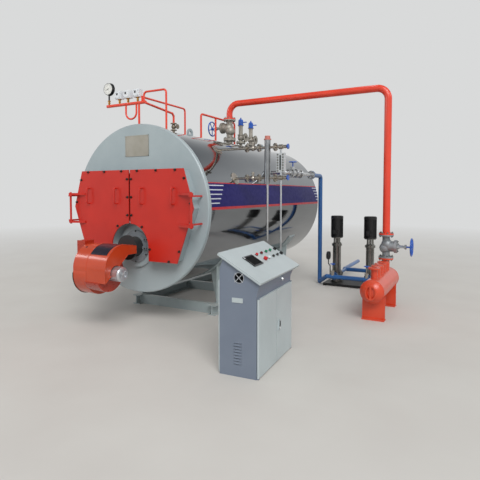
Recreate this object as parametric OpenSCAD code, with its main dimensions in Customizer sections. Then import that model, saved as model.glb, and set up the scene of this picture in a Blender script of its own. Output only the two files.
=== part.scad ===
// Horizontal fire-tube steam boiler with burner, steam header, feed pumps and control desk.
// Millimetres. X to the right seen from the burner end, Y to the rear, Z up.
// The origin is on the floor, under the boiler's axis, at the middle cross member of the base.

/* [Drum] */
// Outer diameter of the clad drum
shell_d = 2120; // [2060:10:2140]
// Length from the front face to the rear face of the drum
body_l = 4160; // [4000:20:4400]
// Thickness of the drum wall with its lagging
shell_wall = 60; // [40:5:90]
// Height of the drum's axis above the floor
axis_h = 1500; // [1480:5:1540]
// Height of the plates' rims above the drum
plate_over = 40; // [30:2:60]
// Thickness of the front plate with its turned rim
plate_t = 60; // [40:5:80]
// Thickness of the rear plate
rear_t = 40; // [30:5:60]

/* [Smoke box and doors] */
// Depth from the front plate to the back of the doors
box_depth = 142; // [120:2:160]
// Thickness of the smoke box frame
box_wall = 20; // [12:2:30]
// Thickness of a door leaf
door_t = 13; // [10:1:18]
// Half the gap between the two leaves
door_half_gap = 12; // [8:1:16]
// Half the width of the doors at their top edge
door_top_x = 842; // [800:2:880]
// Height of the doors' top edge above the axis
door_top_z = 498; // [460:2:520]
// Half the width of the doors at their widest
door_wide_x = 985; // [940:5:990]
// Height of the widest point above the axis
door_wide_z = 20; // [-20:5:60]
// Half the width of the doors at their bottom edge
door_low_x = 742; // [700:2:780]
// Distance of the doors' bottom edge below the axis
door_low_z = 650; // [620:2:670]
// Distance of the furnace centre below the axis
furnace_z = 490; // [480:2:500]
// Radius of the arch cut in the doors round the furnace mouth
arch_r = 305; // [290:1:320]
// Distance of the hinge rods from the boiler's middle plane
hinge_x = 996; // [990:2:1010]
// Distance of the hinge rods in front of the front plate
hinge_y = 219; // [205:2:230]
// Radius of a hinge rod
hinge_rod_r = 14; // [10:1:18]
// Distance from the axis height to each hinge strap
hinge_z = 190; // [170:5:220]
// Outer diameter of a smoke tube
tube_d = 64; // [51:1:70]
// Distance between neighbouring smoke tubes
tube_pitch = 108; // [100:2:112]
// Length of a door handle
handle_l = 200; // [160:5:240]
// Radius of the bar of a door handle
handle_r = 9; // [7:1:12]

/* [Burner] */
// Radius of the burner's mounting plate
burner_plate_r = 270; // [250:5:280]
// Distance of the fan axis in front of the front plate
fan_y = 565; // [550:5:580]
// Distance of the fan axis below the furnace centre
fan_drop = 265; // [250:5:280]
// Radius of the air duct's crown
duct_r = 290; // [275:5:300]
// Width of the air duct
duct_w = 310; // [280:5:330]
// Radius of the fan scroll
scroll_r = 250; // [235:5:265]
// Width of the fan scroll beside the duct
scroll_w = 220; // [190:5:230]
// Radius of the fan inlet housing under the duct
inlet_r = 225; // [205:5:235]
// Diameter of the burner motor
motor_d = 180; // [160:5:190]

/* [Steam line] */
// Outer diameter of the steam main
main_d = 108; // [102:1:114]
// Height of the steam main above the drum's crown
main_rise = 710; // [660:10:760]
// Distance of the steam main behind the middle of the drum
steam_y = 350; // [320:5:380]
// Diameter of the flanges on the steam main
flange_d = 215; // [205:5:230]
// Thickness of the flanges on the steam main
flange_t = 20; // [16:1:24]
// Length of a steam stop valve between its flange faces
valve_l = 350; // [340:5:360]
// Diameter of the hand wheels on the steam valves
wheel_d = 272; // [240:4:300]

/* [Steam header] */
// Distance of the header's axis from the side of the drum
header_gap = 1650; // [1600:10:1700]
// Distance of the header's middle in front of the middle of the drum
header_back = 30; // [0:5:60]
// Height of the header's axis above the floor
header_z = 400; // [380:5:430]
// Outer diameter of the header
header_d = 310; // [300:5:330]
// Length of the header over both dished heads
header_l = 1340; // [1300:10:1400]
// Distance between neighbouring outlet nozzles
nozzle_pitch = 205; // [190:5:210]

/* [Feed set] */
// Distance of the feed line from the side of the drum
feed_gap = 250; // [230:5:270]
// Height of the feed line above the boiler's axis
feed_rise = 520; // [500:5:540]
// Outer diameter of the feed pipe
feed_d = 76; // [60:2:80]
// Distance of the feed nozzle in front of the middle of the drum
feed_start = 150; // [130:5:180]
// Distance of the feed pipe's drop behind the middle of the drum
feed_drop_y = 1480; // [1460:5:1500]
// Distance of the pumps' middle behind the middle of the drum
pump_y = 1600; // [1580:5:1640]
// Distance of the first pump from the side of the drum
pump_gap = 540; // [520:5:560]
// Distance between the two pumps
pump_pitch = 610; // [580:5:640]
// Height of a pump over its motor
pump_h = 1280; // [1260:5:1300]
// Diameter of a pump motor
pump_motor_d = 225; // [210:5:240]
// Diameter of a pump barrel
pump_barrel_d = 130; // [110:5:136]

/* [Level gauge] */
// Distance of the water column from the side of the drum
column_gap = 412; // [400:2:430]
// Distance of the gauge glass from the water column
glass_gap = 192; // [185:1:200]
// Height of the upper gauge line above the boiler's axis
level_up = 800; // [780:5:820]
// Height of the lower gauge line above the boiler's axis
level_low = 400; // [380:5:420]
// Distance of the gauge set in front of the middle of the drum
level_y = 1230; // [1200:5:1260]
// Diameter of the water column
column_d = 80; // [70:2:84]

/* [Control desk] */
// Distance of the desk's back from the side of the drum
desk_gap = 748; // [730:2:770]
// Distance of the desk's corner in front of the middle of the drum
desk_y = 3017; // [2950:5:3020]
// Turn of the desk away from the drum's axis, in degrees
desk_turn = 3.5; // [0:0.5:6]
// Depth of the desk
desk_d = 375; // [360:5:400]
// Width of the desk
desk_w = 950; // [920:5:1000]
// Height of the lid's high edge above the floor
desk_high = 1150; // [1130:5:1180]
// Height of the lid's low edge above the floor
desk_low = 898; // [880:2:910]
// Thickness of the desk's sheet walls
desk_wall = 12; // [8:1:16]

/* [Base] */
// Distance of each base beam from the boiler's middle plane
beam_x = 680; // [640:5:720]
// Height of the base beams
beam_h = 140; // [120:5:160]
// Width of the base beams' flanges
beam_w = 120; // [100:5:140]
// Length of the base beams
beam_l = 2720; // [2600:20:2900]

/* [Hidden] */
$fn = 64;
// Gap left at rest between pieces that seat on each other
seat = 0.3;
// Radial running clearance of a rod, pin or stem in its eye
run = 0.05;
shell_r = shell_d / 2;
plate_r = shell_r + plate_over;
front_y = -body_l / 2;
rear_y = body_l / 2;
door_y = front_y - box_depth - seat;
door_face_y = door_y - door_t;
rod_y = front_y - hinge_y;
furnace_h = axis_h - furnace_z;
fan_z = furnace_h - fan_drop;
main_r = main_d / 2;
shell_top = axis_h + shell_r;
main_z = shell_top + main_rise;
main_valve_z0 = shell_top + 90;
header_x = shell_r + header_gap;
header_r = header_d / 2;
header_y = -header_back;
header_valve_z0 = header_z + header_r + 175;
feed_x = shell_r + feed_gap;
feed_z = axis_h + feed_rise;
feed_r = feed_d / 2;
pump_x = shell_r + pump_gap;
pump_xs = [pump_x, pump_x + pump_pitch];
column_x = shell_r + column_gap;
glass_x = column_x + glass_gap;
level_up_z = axis_h + level_up;
level_low_z = axis_h + level_low;
desk_x = shell_r + desk_gap;

// Vector helpers

function unit(v) = v / norm(v);
function perp_part(b, a) = unit(b - a * (a * b));
function turn(a, b) = acos(max(-1, min(1, a * b)));

// Right-handed frame with columns x, y, z placed at p
module placed(x, y, z, p) {
  multmatrix([
    [x[0], y[0], z[0], p[0]],
    [x[1], y[1], z[1], p[1]],
    [x[2], y[2], z[2], p[2]],
    [0, 0, 0, 1]
  ])
    children();
}

// Round bar of radius r from p to q
module bar(p, q, r) {
  d = q - p;
  translate(p)
    rotate([0, acos(d[2] / norm(d)), atan2(d[1], d[0])])
      cylinder(h = norm(d), r = r);
}

// Round pipe along points pts with bends of radius bend
module pipe(pts, r, bend) {
  n = len(pts);
  dirs = [for (i = [0:n - 2]) unit(pts[i + 1] - pts[i])];
  cuts = [for (i = [0:n - 1])
    (i == 0 || i == n - 1) ? 0 : bend * tan(turn(dirs[i - 1], dirs[i]) / 2)];
  for (i = [0:n - 2])
    bar(pts[i] + dirs[i] * cuts[i], pts[i + 1] - dirs[i] * cuts[i + 1], r);
  for (i = [1:1:n - 2]) {
    side = perp_part(dirs[i], dirs[i - 1]);
    placed(-side, dirs[i - 1], cross(dirs[i - 1], side), pts[i] - dirs[i - 1] * cuts[i] + side * bend)
      rotate_extrude(angle = turn(dirs[i - 1], dirs[i]))
        translate([bend, 0])
          circle(r = r);
  }
}

// Pipe of straight runs, with a ball weld over each corner between them
module mitred(pts, r, ball) {
  for (i = [0:len(pts) - 2])
    bar(pts[i], pts[i + 1], r);
  for (i = [1:1:len(pts) - 2])
    translate(pts[i])
      sphere(r = r + ball);
}

// Cylinder about the boiler's axis
module along_y(r, y0, y1, z = 0, x = 0) {
  translate([x, y0, z])
    rotate([-90, 0, 0])
      cylinder(r = r, h = y1 - y0, $fn = 240);
}

// Cylinder along X
module along_x(r, x0, x1, y, z) {
  translate([x0, y, z])
    rotate([0, 90, 0])
      cylinder(r = r, h = x1 - x0);
}

// Space taken by the drum, with the seating gap
module drum_space() {
  along_y(shell_r + seat, front_y + plate_t, rear_y, axis_h);
}

// Flange disc with a ring of bolt holes, from z = 0 up
module flange(d, t, pcd, n, hole_r, bore_r = 0) {
  difference() {
    cylinder(d = d, h = t);
    for (i = [0:n - 1])
      rotate([0, 0, (i + 0.5) * 360 / n])
        translate([pcd / 2, 0, -1])
          cylinder(r = hole_r, h = t + 2, $fn = 24);
    if (bore_r > 0)
      translate([0, 0, -1])
        cylinder(r = bore_r, h = t + 2);
  }
}

// Hand wheel about Z with its stem, the stem reaching down from the hub
module hand_wheel(d, rim_r, hub_r, spokes, stem_r, stem_l) {
  rotate_extrude()
    translate([d / 2 - rim_r, 0])
      circle(r = rim_r, $fn = 24);
  cylinder(r = hub_r, h = 2.2 * rim_r, center = true);
  for (i = [0:spokes - 1])
    rotate([0, 90, i * 360 / spokes])
      cylinder(r = 0.7 * rim_r, h = d / 2 - rim_r, $fn = 16);
  translate([0, 0, -stem_l])
    cylinder(r = stem_r, h = stem_l + 1.6 * rim_r, $fn = 32);
}

// Base

beam_web = 10;
beam_flange = 14;
beam_end_gap = 110;
channel_w = 60;
channel_t = 9;
cross_ys = [-beam_l / 2 + beam_end_gap, 0, beam_l / 2 - beam_end_gap];

module i_beam(x) {
  translate([x, -beam_l / 2, 0]) {
    translate([-beam_w / 2, 0, 0])
      cube([beam_w, beam_l, beam_flange]);
    translate([-beam_w / 2, 0, beam_h - beam_flange])
      cube([beam_w, beam_l, beam_flange]);
    translate([-beam_web / 2, 0, 0])
      cube([beam_web, beam_l, beam_h]);
  }
}

// Cross channel with its web to the front, as high as the beams
module cross_channel(y) {
  w = 2 * beam_x - beam_web;
  translate([-w / 2, y - channel_w / 2, 0])
    difference() {
      cube([w, channel_w, beam_h]);
      translate([-1, channel_t, channel_t])
        cube([w + 2, channel_w, beam_h - 2 * channel_t]);
    }
}

module base_frame() {
  color("gainsboro")
    union() {
      i_beam(-beam_x);
      i_beam(beam_x);
      for (y = cross_ys)
        cross_channel(y);
    }
}

saddle_end_gap = 240;
saddle_t = 14;
pad_l = 260;
pad_w = 420;
saddle_rib_l = 200;
saddle_ys = [-beam_l / 2 + saddle_end_gap, beam_l / 2 - saddle_end_gap];

// Outline of the right saddle leg, leaning in to meet the drum
module leg_outline() {
  polygon([
    [beam_x - beam_w / 2, beam_h],
    [beam_x + beam_w / 2, beam_h],
    [beam_x + beam_w, axis_h - shell_r / 2],
    [beam_x - 2 * beam_w, axis_h - shell_r / 2]
  ]);
}

module saddle_leg(y) {
  difference() {
    union() {
      translate([0, y + saddle_t / 2, 0])
        rotate([90, 0, 0])
          linear_extrude(saddle_t)
            leg_outline();
      translate([beam_x - saddle_t / 2, y - saddle_rib_l / 2, beam_h])
        cube([saddle_t, saddle_rib_l, axis_h - shell_r / 2 - beam_h]);
      intersection() {
        along_y(shell_r + saddle_t, y - pad_l / 2, y + pad_l / 2, axis_h);
        translate([beam_x - pad_w / 2, y - pad_l / 2, beam_h])
          cube([pad_w, pad_l, axis_h - shell_r / 2 - beam_h]);
      }
    }
    drum_space();
  }
}

module saddles() {
  color("gainsboro")
    for (y = saddle_ys) {
      saddle_leg(y);
      mirror([1, 0, 0])
        saddle_leg(y);
    }
}

// Drum

module shell() {
  color("silver")
    difference() {
      along_y(shell_r, front_y + plate_t, rear_y, axis_h);
      along_y(shell_r - shell_wall, front_y + plate_t - 1, rear_y + 1, axis_h);
    }
}

plate_bevel = 12;
tube_r = tube_d / 2;
tube_wall = 4;
tube_lip = 6;
tube_depth = 40;
tube_x0 = 110;
tube_z0 = 75;
tube_rows = 4;
tube_cols = 6;

// Both tube nests, every second row moved by half the pitch
module tube_nests(r, y0, y1) {
  for (side = [-1, 1])
    for (row = [0:tube_rows - 1])
      for (col = [0:tube_cols - 1])
        translate([
          side * (tube_x0 + (col + (row % 2) / 2) * tube_pitch),
          y0,
          axis_h + tube_z0 + row * tube_pitch
        ])
          rotate([-90, 0, 0])
            cylinder(r = r, h = y1 - y0, $fn = 48);
}

// Front plate, which is the tube sheet behind the doors
module front_plate() {
  color("lightsteelblue")
    difference() {
      union() {
        translate([0, front_y, axis_h])
          rotate([-90, 0, 0])
            cylinder(r1 = plate_r - plate_bevel, r2 = plate_r, h = plate_bevel, $fn = 240);
        along_y(plate_r, front_y + plate_bevel, front_y + plate_t, axis_h);
        tube_nests(tube_r, front_y - tube_lip, front_y + 1);
      }
      tube_nests(tube_r - tube_wall, front_y - tube_lip - 1, front_y + tube_depth);
    }
}

rear_r = shell_r - shell_wall - seat;

// Rear plate, set into the end of the shell
module rear_plate() {
  color("lightsteelblue")
    union() {
      along_y(rear_r, rear_y - rear_t, rear_y - plate_bevel, axis_h);
      translate([0, rear_y - plate_bevel, axis_h])
        rotate([-90, 0, 0])
          cylinder(r1 = rear_r, r2 = rear_r - plate_bevel, h = plate_bevel, $fn = 240);
    }
}

flue_r = 200;
flue_wall = 8;
flue_l = 160;
flue_flange_d = 520;
flue_flange_t = 12;
flue_z = axis_h + 520;

// Flue gas outlet with its flange at the rear
module flue_outlet() {
  color("lightsteelblue")
    difference() {
      union() {
        along_y(flue_r, rear_y, rear_y + flue_l, flue_z);
        translate([0, rear_y + flue_l - flue_flange_t, flue_z])
          rotate([-90, 0, 0])
            flange(flue_flange_d, flue_flange_t, 470, 12, 9);
      }
      along_y(flue_r - flue_wall, rear_y + flue_wall, rear_y + flue_l + 1, flue_z);
    }
}

// Smoke box

// Outline of one leaf, right side, in X and height above the axis
function leaf_points(inner, cut) = [
  [inner, -door_low_z + cut],
  [door_low_x - cut, -door_low_z + cut],
  [door_wide_x - cut, door_wide_z],
  [door_top_x - cut, door_top_z - cut],
  [inner, door_top_z - cut]
];

module upright(y0, y1) {
  translate([0, y1, axis_h])
    rotate([90, 0, 0])
      linear_extrude(y1 - y0)
        children();
}

// Space round the furnace mouth, open at the bottom
module arch_space(r) {
  translate([0, -furnace_z])
    circle(r = r, $fn = 96);
  translate([-r, -2 * door_low_z])
    square([2 * r, 2 * door_low_z - furnace_z]);
}

module box_outline(cut, arch) {
  difference() {
    union() {
      polygon(leaf_points(0, cut));
      mirror([1, 0])
        polygon(leaf_points(0, cut));
    }
    arch_space(arch);
  }
}

box_inset = 22;
arch_gap = 6;

module smokebox_frame() {
  color("slategray")
    upright(front_y - box_depth, front_y)
      difference() {
        box_outline(box_inset, arch_r + arch_gap);
        box_outline(box_inset + box_wall, arch_r + arch_gap + box_wall);
      }
}

lug_h = 20;
lug_eye_r = 30;
lug_arm_w = 24;

// Fixed hinge lug from the front plate to the hinge rod
module hinge_lug(side, z) {
  difference() {
    union() {
      translate([side * hinge_x, rod_y, z])
        cylinder(r = lug_eye_r, h = lug_h);
      translate([side * hinge_x - lug_arm_w / 2, rod_y, z])
        cube([lug_arm_w, hinge_y, lug_h]);
    }
    translate([side * hinge_x, rod_y, z - 1])
      cylinder(r = hinge_rod_r + run, h = lug_h + 2);
  }
}

strap_h = 26;
upper_lug_z = axis_h + hinge_z - strap_h / 2 - seat - lug_h;
lower_lug_z = axis_h - hinge_z + strap_h / 2 + seat;

module door_hinge_lugs() {
  color("firebrick")
    for (side = [-1, 1]) {
      hinge_lug(side, upper_lug_z);
      hinge_lug(side, lower_lug_z);
    }
}

module leaf() {
  upright(door_y - door_t, door_y)
    difference() {
      polygon(leaf_points(door_half_gap, 0));
      arch_space(arch_r);
    }
}

handle_xs = [210, 700];
handle_rise = 165;
handle_out = 55;
handle_bend = 24;

module leaf_handles() {
  z0 = axis_h + handle_rise - handle_l / 2;
  z1 = z0 + handle_l;
  for (x = handle_xs)
    pipe([
      [x, door_face_y, z0],
      [x, door_face_y - handle_out, z0],
      [x, door_face_y - handle_out, z1],
      [x, door_face_y, z1]
    ], handle_r, handle_bend);
}

strap_in_x = 780;
strap_seat_x = 895;
strap_t = 14;
knuckle_r = 26;
rod_over = 12;

// Tapered hinge straps on a leaf, joined by the rod that turns in the lugs
module leaf_hinge() {
  for (z = [axis_h + hinge_z, axis_h - hinge_z])
    translate([0, 0, z - strap_h / 2]) {
      linear_extrude(strap_h)
        polygon([
          [strap_in_x, door_face_y],
          [strap_in_x, door_face_y - strap_t],
          [hinge_x - 8, rod_y - knuckle_r + 2],
          [hinge_x, rod_y + strap_t],
          [strap_seat_x, door_face_y]
        ]);
      translate([hinge_x, rod_y, 0])
        cylinder(r = knuckle_r, h = strap_h);
    }
  translate([hinge_x, rod_y, axis_h - hinge_z - strap_h / 2 - rod_over])
    cylinder(r = hinge_rod_r, h = 2 * hinge_z + strap_h + 2 * rod_over);
}

module door_right() {
  color("crimson")
    leaf();
}

module door_left() {
  color("crimson")
    mirror([1, 0, 0])
      leaf();
}

module door_right_fittings() {
  color("crimson") {
    leaf_handles();
    leaf_hinge();
  }
}

module door_left_fittings() {
  color("crimson")
    mirror([1, 0, 0]) {
      leaf_handles();
      leaf_hinge();
    }
}

// Burner

burner_plate_t = 30;
neck_r = 128;
neck_l = 210;
neck_ring_r = 158;
neck_ring_t = 20;
duct_x0 = -duct_w / 2;
duct_x1 = duct_w / 2;
scroll_x0 = duct_x0 - scroll_w;
// Centre of the duct's crown, and the corners of its straight lower edge,
// as distance from the front plate and height
crown = [455, fan_z + 45];
tip = [crown[0] + duct_r, fan_z - 95];
heel = [360, fan_z + 205];
duct_mouth = [neck_l + seat, furnace_h + 32];

module burner_plate() {
  color("lightslategray")
    along_y(burner_plate_r, front_y - burner_plate_t, front_y, furnace_h);
}

module burner_neck() {
  color("dimgray") {
    along_y(neck_r, front_y - neck_l, front_y - burner_plate_t, furnace_h);
    along_y(neck_ring_r, front_y - neck_l, front_y - neck_l + neck_ring_t, furnace_h);
    along_y(neck_ring_r, front_y - burner_plate_t - 16, front_y - burner_plate_t, furnace_h);
  }
}

// Side outline of the curved air duct, in distance from the front plate and height
module duct_outline() {
  difference() {
    union() {
      translate([-crown[0], crown[1]])
        circle(r = duct_r, $fn = 120);
      polygon([
        [-tip[0], crown[1]],
        [-tip[0], tip[1]],
        [-heel[0], heel[1]],
        [-duct_mouth[0], heel[1]],
        [-duct_mouth[0], duct_mouth[1]],
        [-crown[0], crown[1] + duct_r]
      ]);
    }
    polygon([
      [-tip[0] - 1, tip[1]],
      [-tip[0], tip[1]],
      [-heel[0], heel[1]],
      [0, heel[1]],
      [0, fan_z - duct_r],
      [-tip[0] - 1, fan_z - duct_r]
    ]);
    translate([-duct_mouth[0], 0])
      square([duct_mouth[0], 2 * furnace_h]);
    translate([-fan_y, fan_z])
      circle(r = motor_d / 2 + 8, $fn = 96);
  }
}

module sideways(x0, x1) {
  translate([x0, front_y, 0])
    rotate([90, 0, 90])
      linear_extrude(x1 - x0)
        children();
}

duct_flange = 6;

// Air duct with a raised edge flange on its side sheet
module burner_duct() {
  color("orangered")
    sideways(duct_x0, duct_x1)
      duct_outline();
}

// Shift of the scroll's centre from the fan axis, and where its back ends
scroll_shift = [-70, -35];
scroll_back = 360;

module burner_scroll() {
  color("orangered")
    sideways(scroll_x0, duct_x0 - seat)
      difference() {
        union() {
          translate([-fan_y - scroll_shift[0], fan_z + scroll_shift[1]])
            circle(r = scroll_r, $fn = 120);
          translate([-crown[0], crown[1]])
            circle(r = duct_r - duct_flange, $fn = 120);
        }
        translate([-scroll_back, fan_z + 80])
          square([scroll_back, 2 * duct_r]);
      }
}

inlet_x1 = 60;

// Fan inlet housing under the duct's straight edge
module burner_inlet() {
  color("darkred")
    sideways(duct_x0, inlet_x1)
      intersection() {
        translate([-fan_y, fan_z])
          circle(r = inlet_r, $fn = 120);
        polygon([
          [-tip[0] - inlet_r, tip[1] - 1],
          [-tip[0], tip[1] - 1],
          [-heel[0], heel[1] - 1],
          [0, heel[1] - 1],
          [0, fan_z - 2 * inlet_r],
          [-tip[0] - inlet_r, fan_z - 2 * inlet_r]
        ]);
      }
}

motor_x1 = 268;
motor_round = 26;
motor_fins = 20;
fin_h = 5;

// Motor with ribs along its barrel and a rounded end bell with a recessed grille seat
module burner_motor() {
  r = motor_d / 2;
  color("silver")
    translate([inlet_x1 + seat, front_y - fan_y, fan_z])
      rotate([0, 90, 0])
        union() {
          rotate_extrude($fn = 96)
            difference() {
              union() {
                square([r - fin_h, motor_x1 - inlet_x1 - motor_round]);
                translate([0, motor_x1 - inlet_x1 - motor_round])
                  square([r - motor_round, motor_round]);
                translate([r - motor_round, motor_x1 - inlet_x1 - motor_round])
                  circle(r = motor_round, $fn = 48);
              }
              translate([-1, motor_x1 - inlet_x1 - 8])
                square([r - 30 + 1, 10]);
              translate([-r, -1])
                square([r, 2 * motor_x1]);
            }
          for (i = [0:motor_fins - 1])
            rotate([0, 0, i * 360 / motor_fins])
              translate([r - 2 * fin_h, -2, 0])
                cube([2 * fin_h, 4, motor_x1 - inlet_x1 - motor_round - 10]);
        }
}

box_x0 = -510;
box_w = scroll_x0 - seat - box_x0;
box_l = 150;
box_y = 550;
box_z0 = fan_z + 155;
box_h = 210;

// Control box behind the scroll, open to nothing
module burner_box() {
  color("brown")
    translate([box_x0, front_y - box_y, box_z0])
      cube([box_w, box_l, box_h]);
}

// Plates and lugs

nameplate_size = [390, 5, 270];
nameplate_rise = 680;

module nameplate() {
  color("silver")
    translate([-nameplate_size[0] / 2, front_y - nameplate_size[1], axis_h + nameplate_rise])
      cube(nameplate_size);
}

lug_ys = [-880, 1670];
lug_t = 24;
lug_r = 70;
lug_hole_r = 32;
lug_rise = 60;

// Lifting lug standing on the drum's crown, in line with the drum
module lifting_lugs() {
  color("gainsboro")
    for (y = lug_ys)
      translate([lug_t / 2, y, shell_top])
        rotate([0, -90, 0])
          difference() {
            linear_extrude(lug_t)
              union() {
                translate([-10, -lug_r])
                  square([lug_rise + 10, 2 * lug_r]);
                translate([lug_rise, 0])
                  circle(r = lug_r);
              }
            translate([lug_rise, 0, -1])
              cylinder(r = lug_hole_r, h = lug_t + 2);
            translate([-shell_r, 0, lug_t / 2])
              rotate([90, 0, 0])
                cylinder(r = shell_r + seat, h = 400, center = true, $fn = 240);
          }
}

// Steam valves

bolt_circle = 180;
body_r = 84;
port_shift = 26;
bonnet_r = 78;
bonnet_l = 140;
bonnet_flange_r = 96;
bonnet_flange_t = 20;
yoke_l = 150;
yoke_arm = 14;
yoke_root = 62;
yoke_head_r = 34;
yoke_head_l = 26;
stem_r = 12;
wheel_gap = 72;
wheel_reach = bonnet_l + yoke_l + wheel_gap;
wheel_rise = 35;

// Globe valve body about Z from z = 0, S-shaped between its flanges, bonnet towards +X
module globe_body(l, rise) {
  flange(flange_d, flange_t, bolt_circle, 8, 9);
  translate([0, 0, l - flange_t])
    flange(flange_d, flange_t, bolt_circle, 8, 9);
  cylinder(r = main_r, h = l);
  translate([-port_shift / 2, 0, l / 2 - port_shift])
    sphere(r = body_r);
  translate([port_shift / 2, 0, l / 2 + port_shift])
    sphere(r = body_r);
  translate([0, 0, l / 2 + rise])
    rotate([0, 90, 0]) {
      cylinder(r = bonnet_r, h = bonnet_l);
      translate([0, 0, bonnet_l - bonnet_flange_t])
        cylinder(r = bonnet_flange_r, h = bonnet_flange_t);
    }
}

// Bonnet cover with two tapered yoke arms and the stem nut, along +X from x = 0
module yoke() {
  difference() {
    union() {
      rotate([0, 90, 0]) {
        cylinder(r = bonnet_flange_r, h = bonnet_flange_t);
        cylinder(r = yoke_head_r, h = yoke_l / 3);
        translate([0, 0, yoke_l - yoke_head_l])
          cylinder(r = yoke_head_r, h = yoke_head_l);
      }
      for (s = [0, 1])
        mirror([0, s, 0])
          translate([0, 0, -yoke_arm])
            linear_extrude(2 * yoke_arm)
              polygon([
                [0, yoke_root],
                [0, yoke_root + yoke_arm],
                [yoke_l / 2, yoke_root],
                [yoke_l, yoke_head_r - 4],
                [yoke_l, yoke_head_r - yoke_arm - 4],
                [yoke_l / 2, yoke_root - yoke_arm]
              ]);
    }
    translate([-1, 0, 0])
      rotate([0, 90, 0])
        cylinder(r = stem_r + run, h = yoke_l + 2);
  }
}

module steam_wheel() {
  rotate([0, 90, 0])
    hand_wheel(wheel_d, 11, 26, 5, stem_r, wheel_gap + yoke_l - 20);
}

module main_valve_body() {
  color("darkgray") {
    difference() {
      union() {
        translate([0, steam_y, axis_h])
          cylinder(r = main_r, h = main_valve_z0 - axis_h);
        translate([0, steam_y, main_valve_z0 - flange_t])
          cylinder(d = flange_d, h = flange_t);
      }
      drum_space();
    }
    translate([0, steam_y, main_valve_z0])
      rotate([0, 0, 180])
        globe_body(valve_l, wheel_rise);
  }
}

module main_valve_yoke() {
  color("darkgray")
    translate([-bonnet_l, steam_y, main_valve_z0 + valve_l / 2 + wheel_rise])
      rotate([0, 0, 180])
        yoke();
}

module main_valve_wheel() {
  color("royalblue")
    translate([-wheel_reach, steam_y, main_valve_z0 + valve_l / 2 + wheel_rise])
      rotate([0, 0, 180])
        steam_wheel();
}

main_bend = 170;

module steam_main() {
  color("tomato") {
    pipe([
      [0, steam_y, main_valve_z0 + valve_l + flange_t],
      [0, steam_y, main_z],
      [header_x, steam_y, main_z],
      [header_x, steam_y, header_valve_z0 + valve_l + flange_t]
    ], main_r, main_bend);
    translate([0, steam_y, main_valve_z0 + valve_l])
      flange(flange_d, flange_t, bolt_circle, 8, 9);
    translate([header_x, steam_y, header_valve_z0 + valve_l])
      flange(flange_d, flange_t, bolt_circle, 8, 9);
  }
}

module header_valve_body() {
  color("darkgray")
    translate([header_x, steam_y, header_valve_z0])
      globe_body(valve_l, 0);
}

module header_valve_yoke() {
  color("darkgray")
    translate([header_x + bonnet_l, steam_y, header_valve_z0 + valve_l / 2])
      yoke();
}

module header_valve_wheel() {
  color("royalblue")
    translate([header_x + wheel_reach, steam_y, header_valve_z0 + valve_l / 2])
      steam_wheel();
}

// Steam header

head_depth = 82;
outlet_d = 165;
outlet_flange_t = 18;
outlet_ys = [for (i = [0:3]) steam_y - (i + 1) * nozzle_pitch - 10];
outlet_r = 38;
outlet_wall = 6;
outlet_rise = 145;
drain_r = 17;
drain_z = 90;
hand_hole_h = 190;
hand_hole_w = 140;
hand_hole_ring = 14;
hand_hole_out = 16;
hand_bar_w = 26;

// Dished head profile turned about the header's axis
module dished_head() {
  rotate_extrude($fn = 96)
    intersection() {
      translate([0, -(header_r * header_r - head_depth * head_depth) / (2 * head_depth)])
        circle(r = (header_r * header_r + head_depth * head_depth) / (2 * head_depth), $fn = 180);
      square([header_r, head_depth]);
    }
}

// Oval opening's ring and the cover's strongback on the front head
module hand_hole(y0, y1) {
  translate([header_x, y1, header_z])
    rotate([90, 0, 0])
      linear_extrude(y1 - y0) {
        difference() {
          scale([hand_hole_w / hand_hole_h, 1])
            circle(d = hand_hole_h);
          scale([(hand_hole_w - 2 * hand_hole_ring) / (hand_hole_h - 2 * hand_hole_ring), 1])
            circle(d = hand_hole_h - 2 * hand_hole_ring);
        }
        translate([-hand_bar_w / 2, -hand_hole_h / 2])
          square([hand_bar_w, hand_hole_h]);
      }
}

module steam_header() {
  y0 = header_y - header_l / 2 + head_depth;
  y1 = header_y + header_l / 2 - head_depth;
  color("orangered")
    difference() {
      union() {
        along_y(header_r, y0, y1, header_z, header_x);
        translate([header_x, y0, header_z])
          rotate([90, 0, 0])
            dished_head();
        translate([header_x, y1, header_z])
          rotate([-90, 0, 0])
            dished_head();
        hand_hole(y0 - head_depth - hand_hole_out, y0);
        translate([header_x, steam_y, header_z])
          cylinder(r = main_r, h = header_valve_z0 - header_z);
        translate([header_x, steam_y, header_valve_z0 - flange_t])
          cylinder(d = flange_d, h = flange_t);
        translate([header_x, header_y, drain_z])
          cylinder(r = drain_r, h = header_z - drain_z);
        for (y = outlet_ys) {
          translate([header_x, y, header_z])
            cylinder(r = outlet_r + outlet_wall, h = header_r + outlet_rise);
          translate([header_x, y, header_z + header_r + outlet_rise - outlet_flange_t])
            flange(outlet_d, outlet_flange_t, 125, 4, 9);
        }
      }
      for (y = outlet_ys)
        translate([header_x, y, header_z + header_r - 20])
          cylinder(r = outlet_r, h = outlet_rise + 40);
    }
}

leg_ys = [-500, 370];
leg_w = 300;
leg_t = 12;
foot_l = 120;

module header_legs() {
  color("orangered")
    for (y = leg_ys)
      difference() {
        union() {
          translate([header_x - leg_w / 2, y - leg_t / 2, 0])
            cube([leg_w, leg_t, header_z]);
          translate([header_x - leg_w / 2, y - foot_l / 2, 0])
            cube([leg_w, foot_l, leg_t]);
        }
        along_y(header_r + seat, -header_l, header_l, header_z, header_x);
      }
}

// Fittings on the crown

safety_ys = [770, 1180];
safety_neck_r = 30;
safety_base = shell_top + 60;
safety_flange_d = 170;
safety_flange_t = 18;
safety_port_z = 105;
safety_port_x = 92;
safety_body_r = 58;
safety_bonnet_r = 38;
safety_h = 330;

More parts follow.
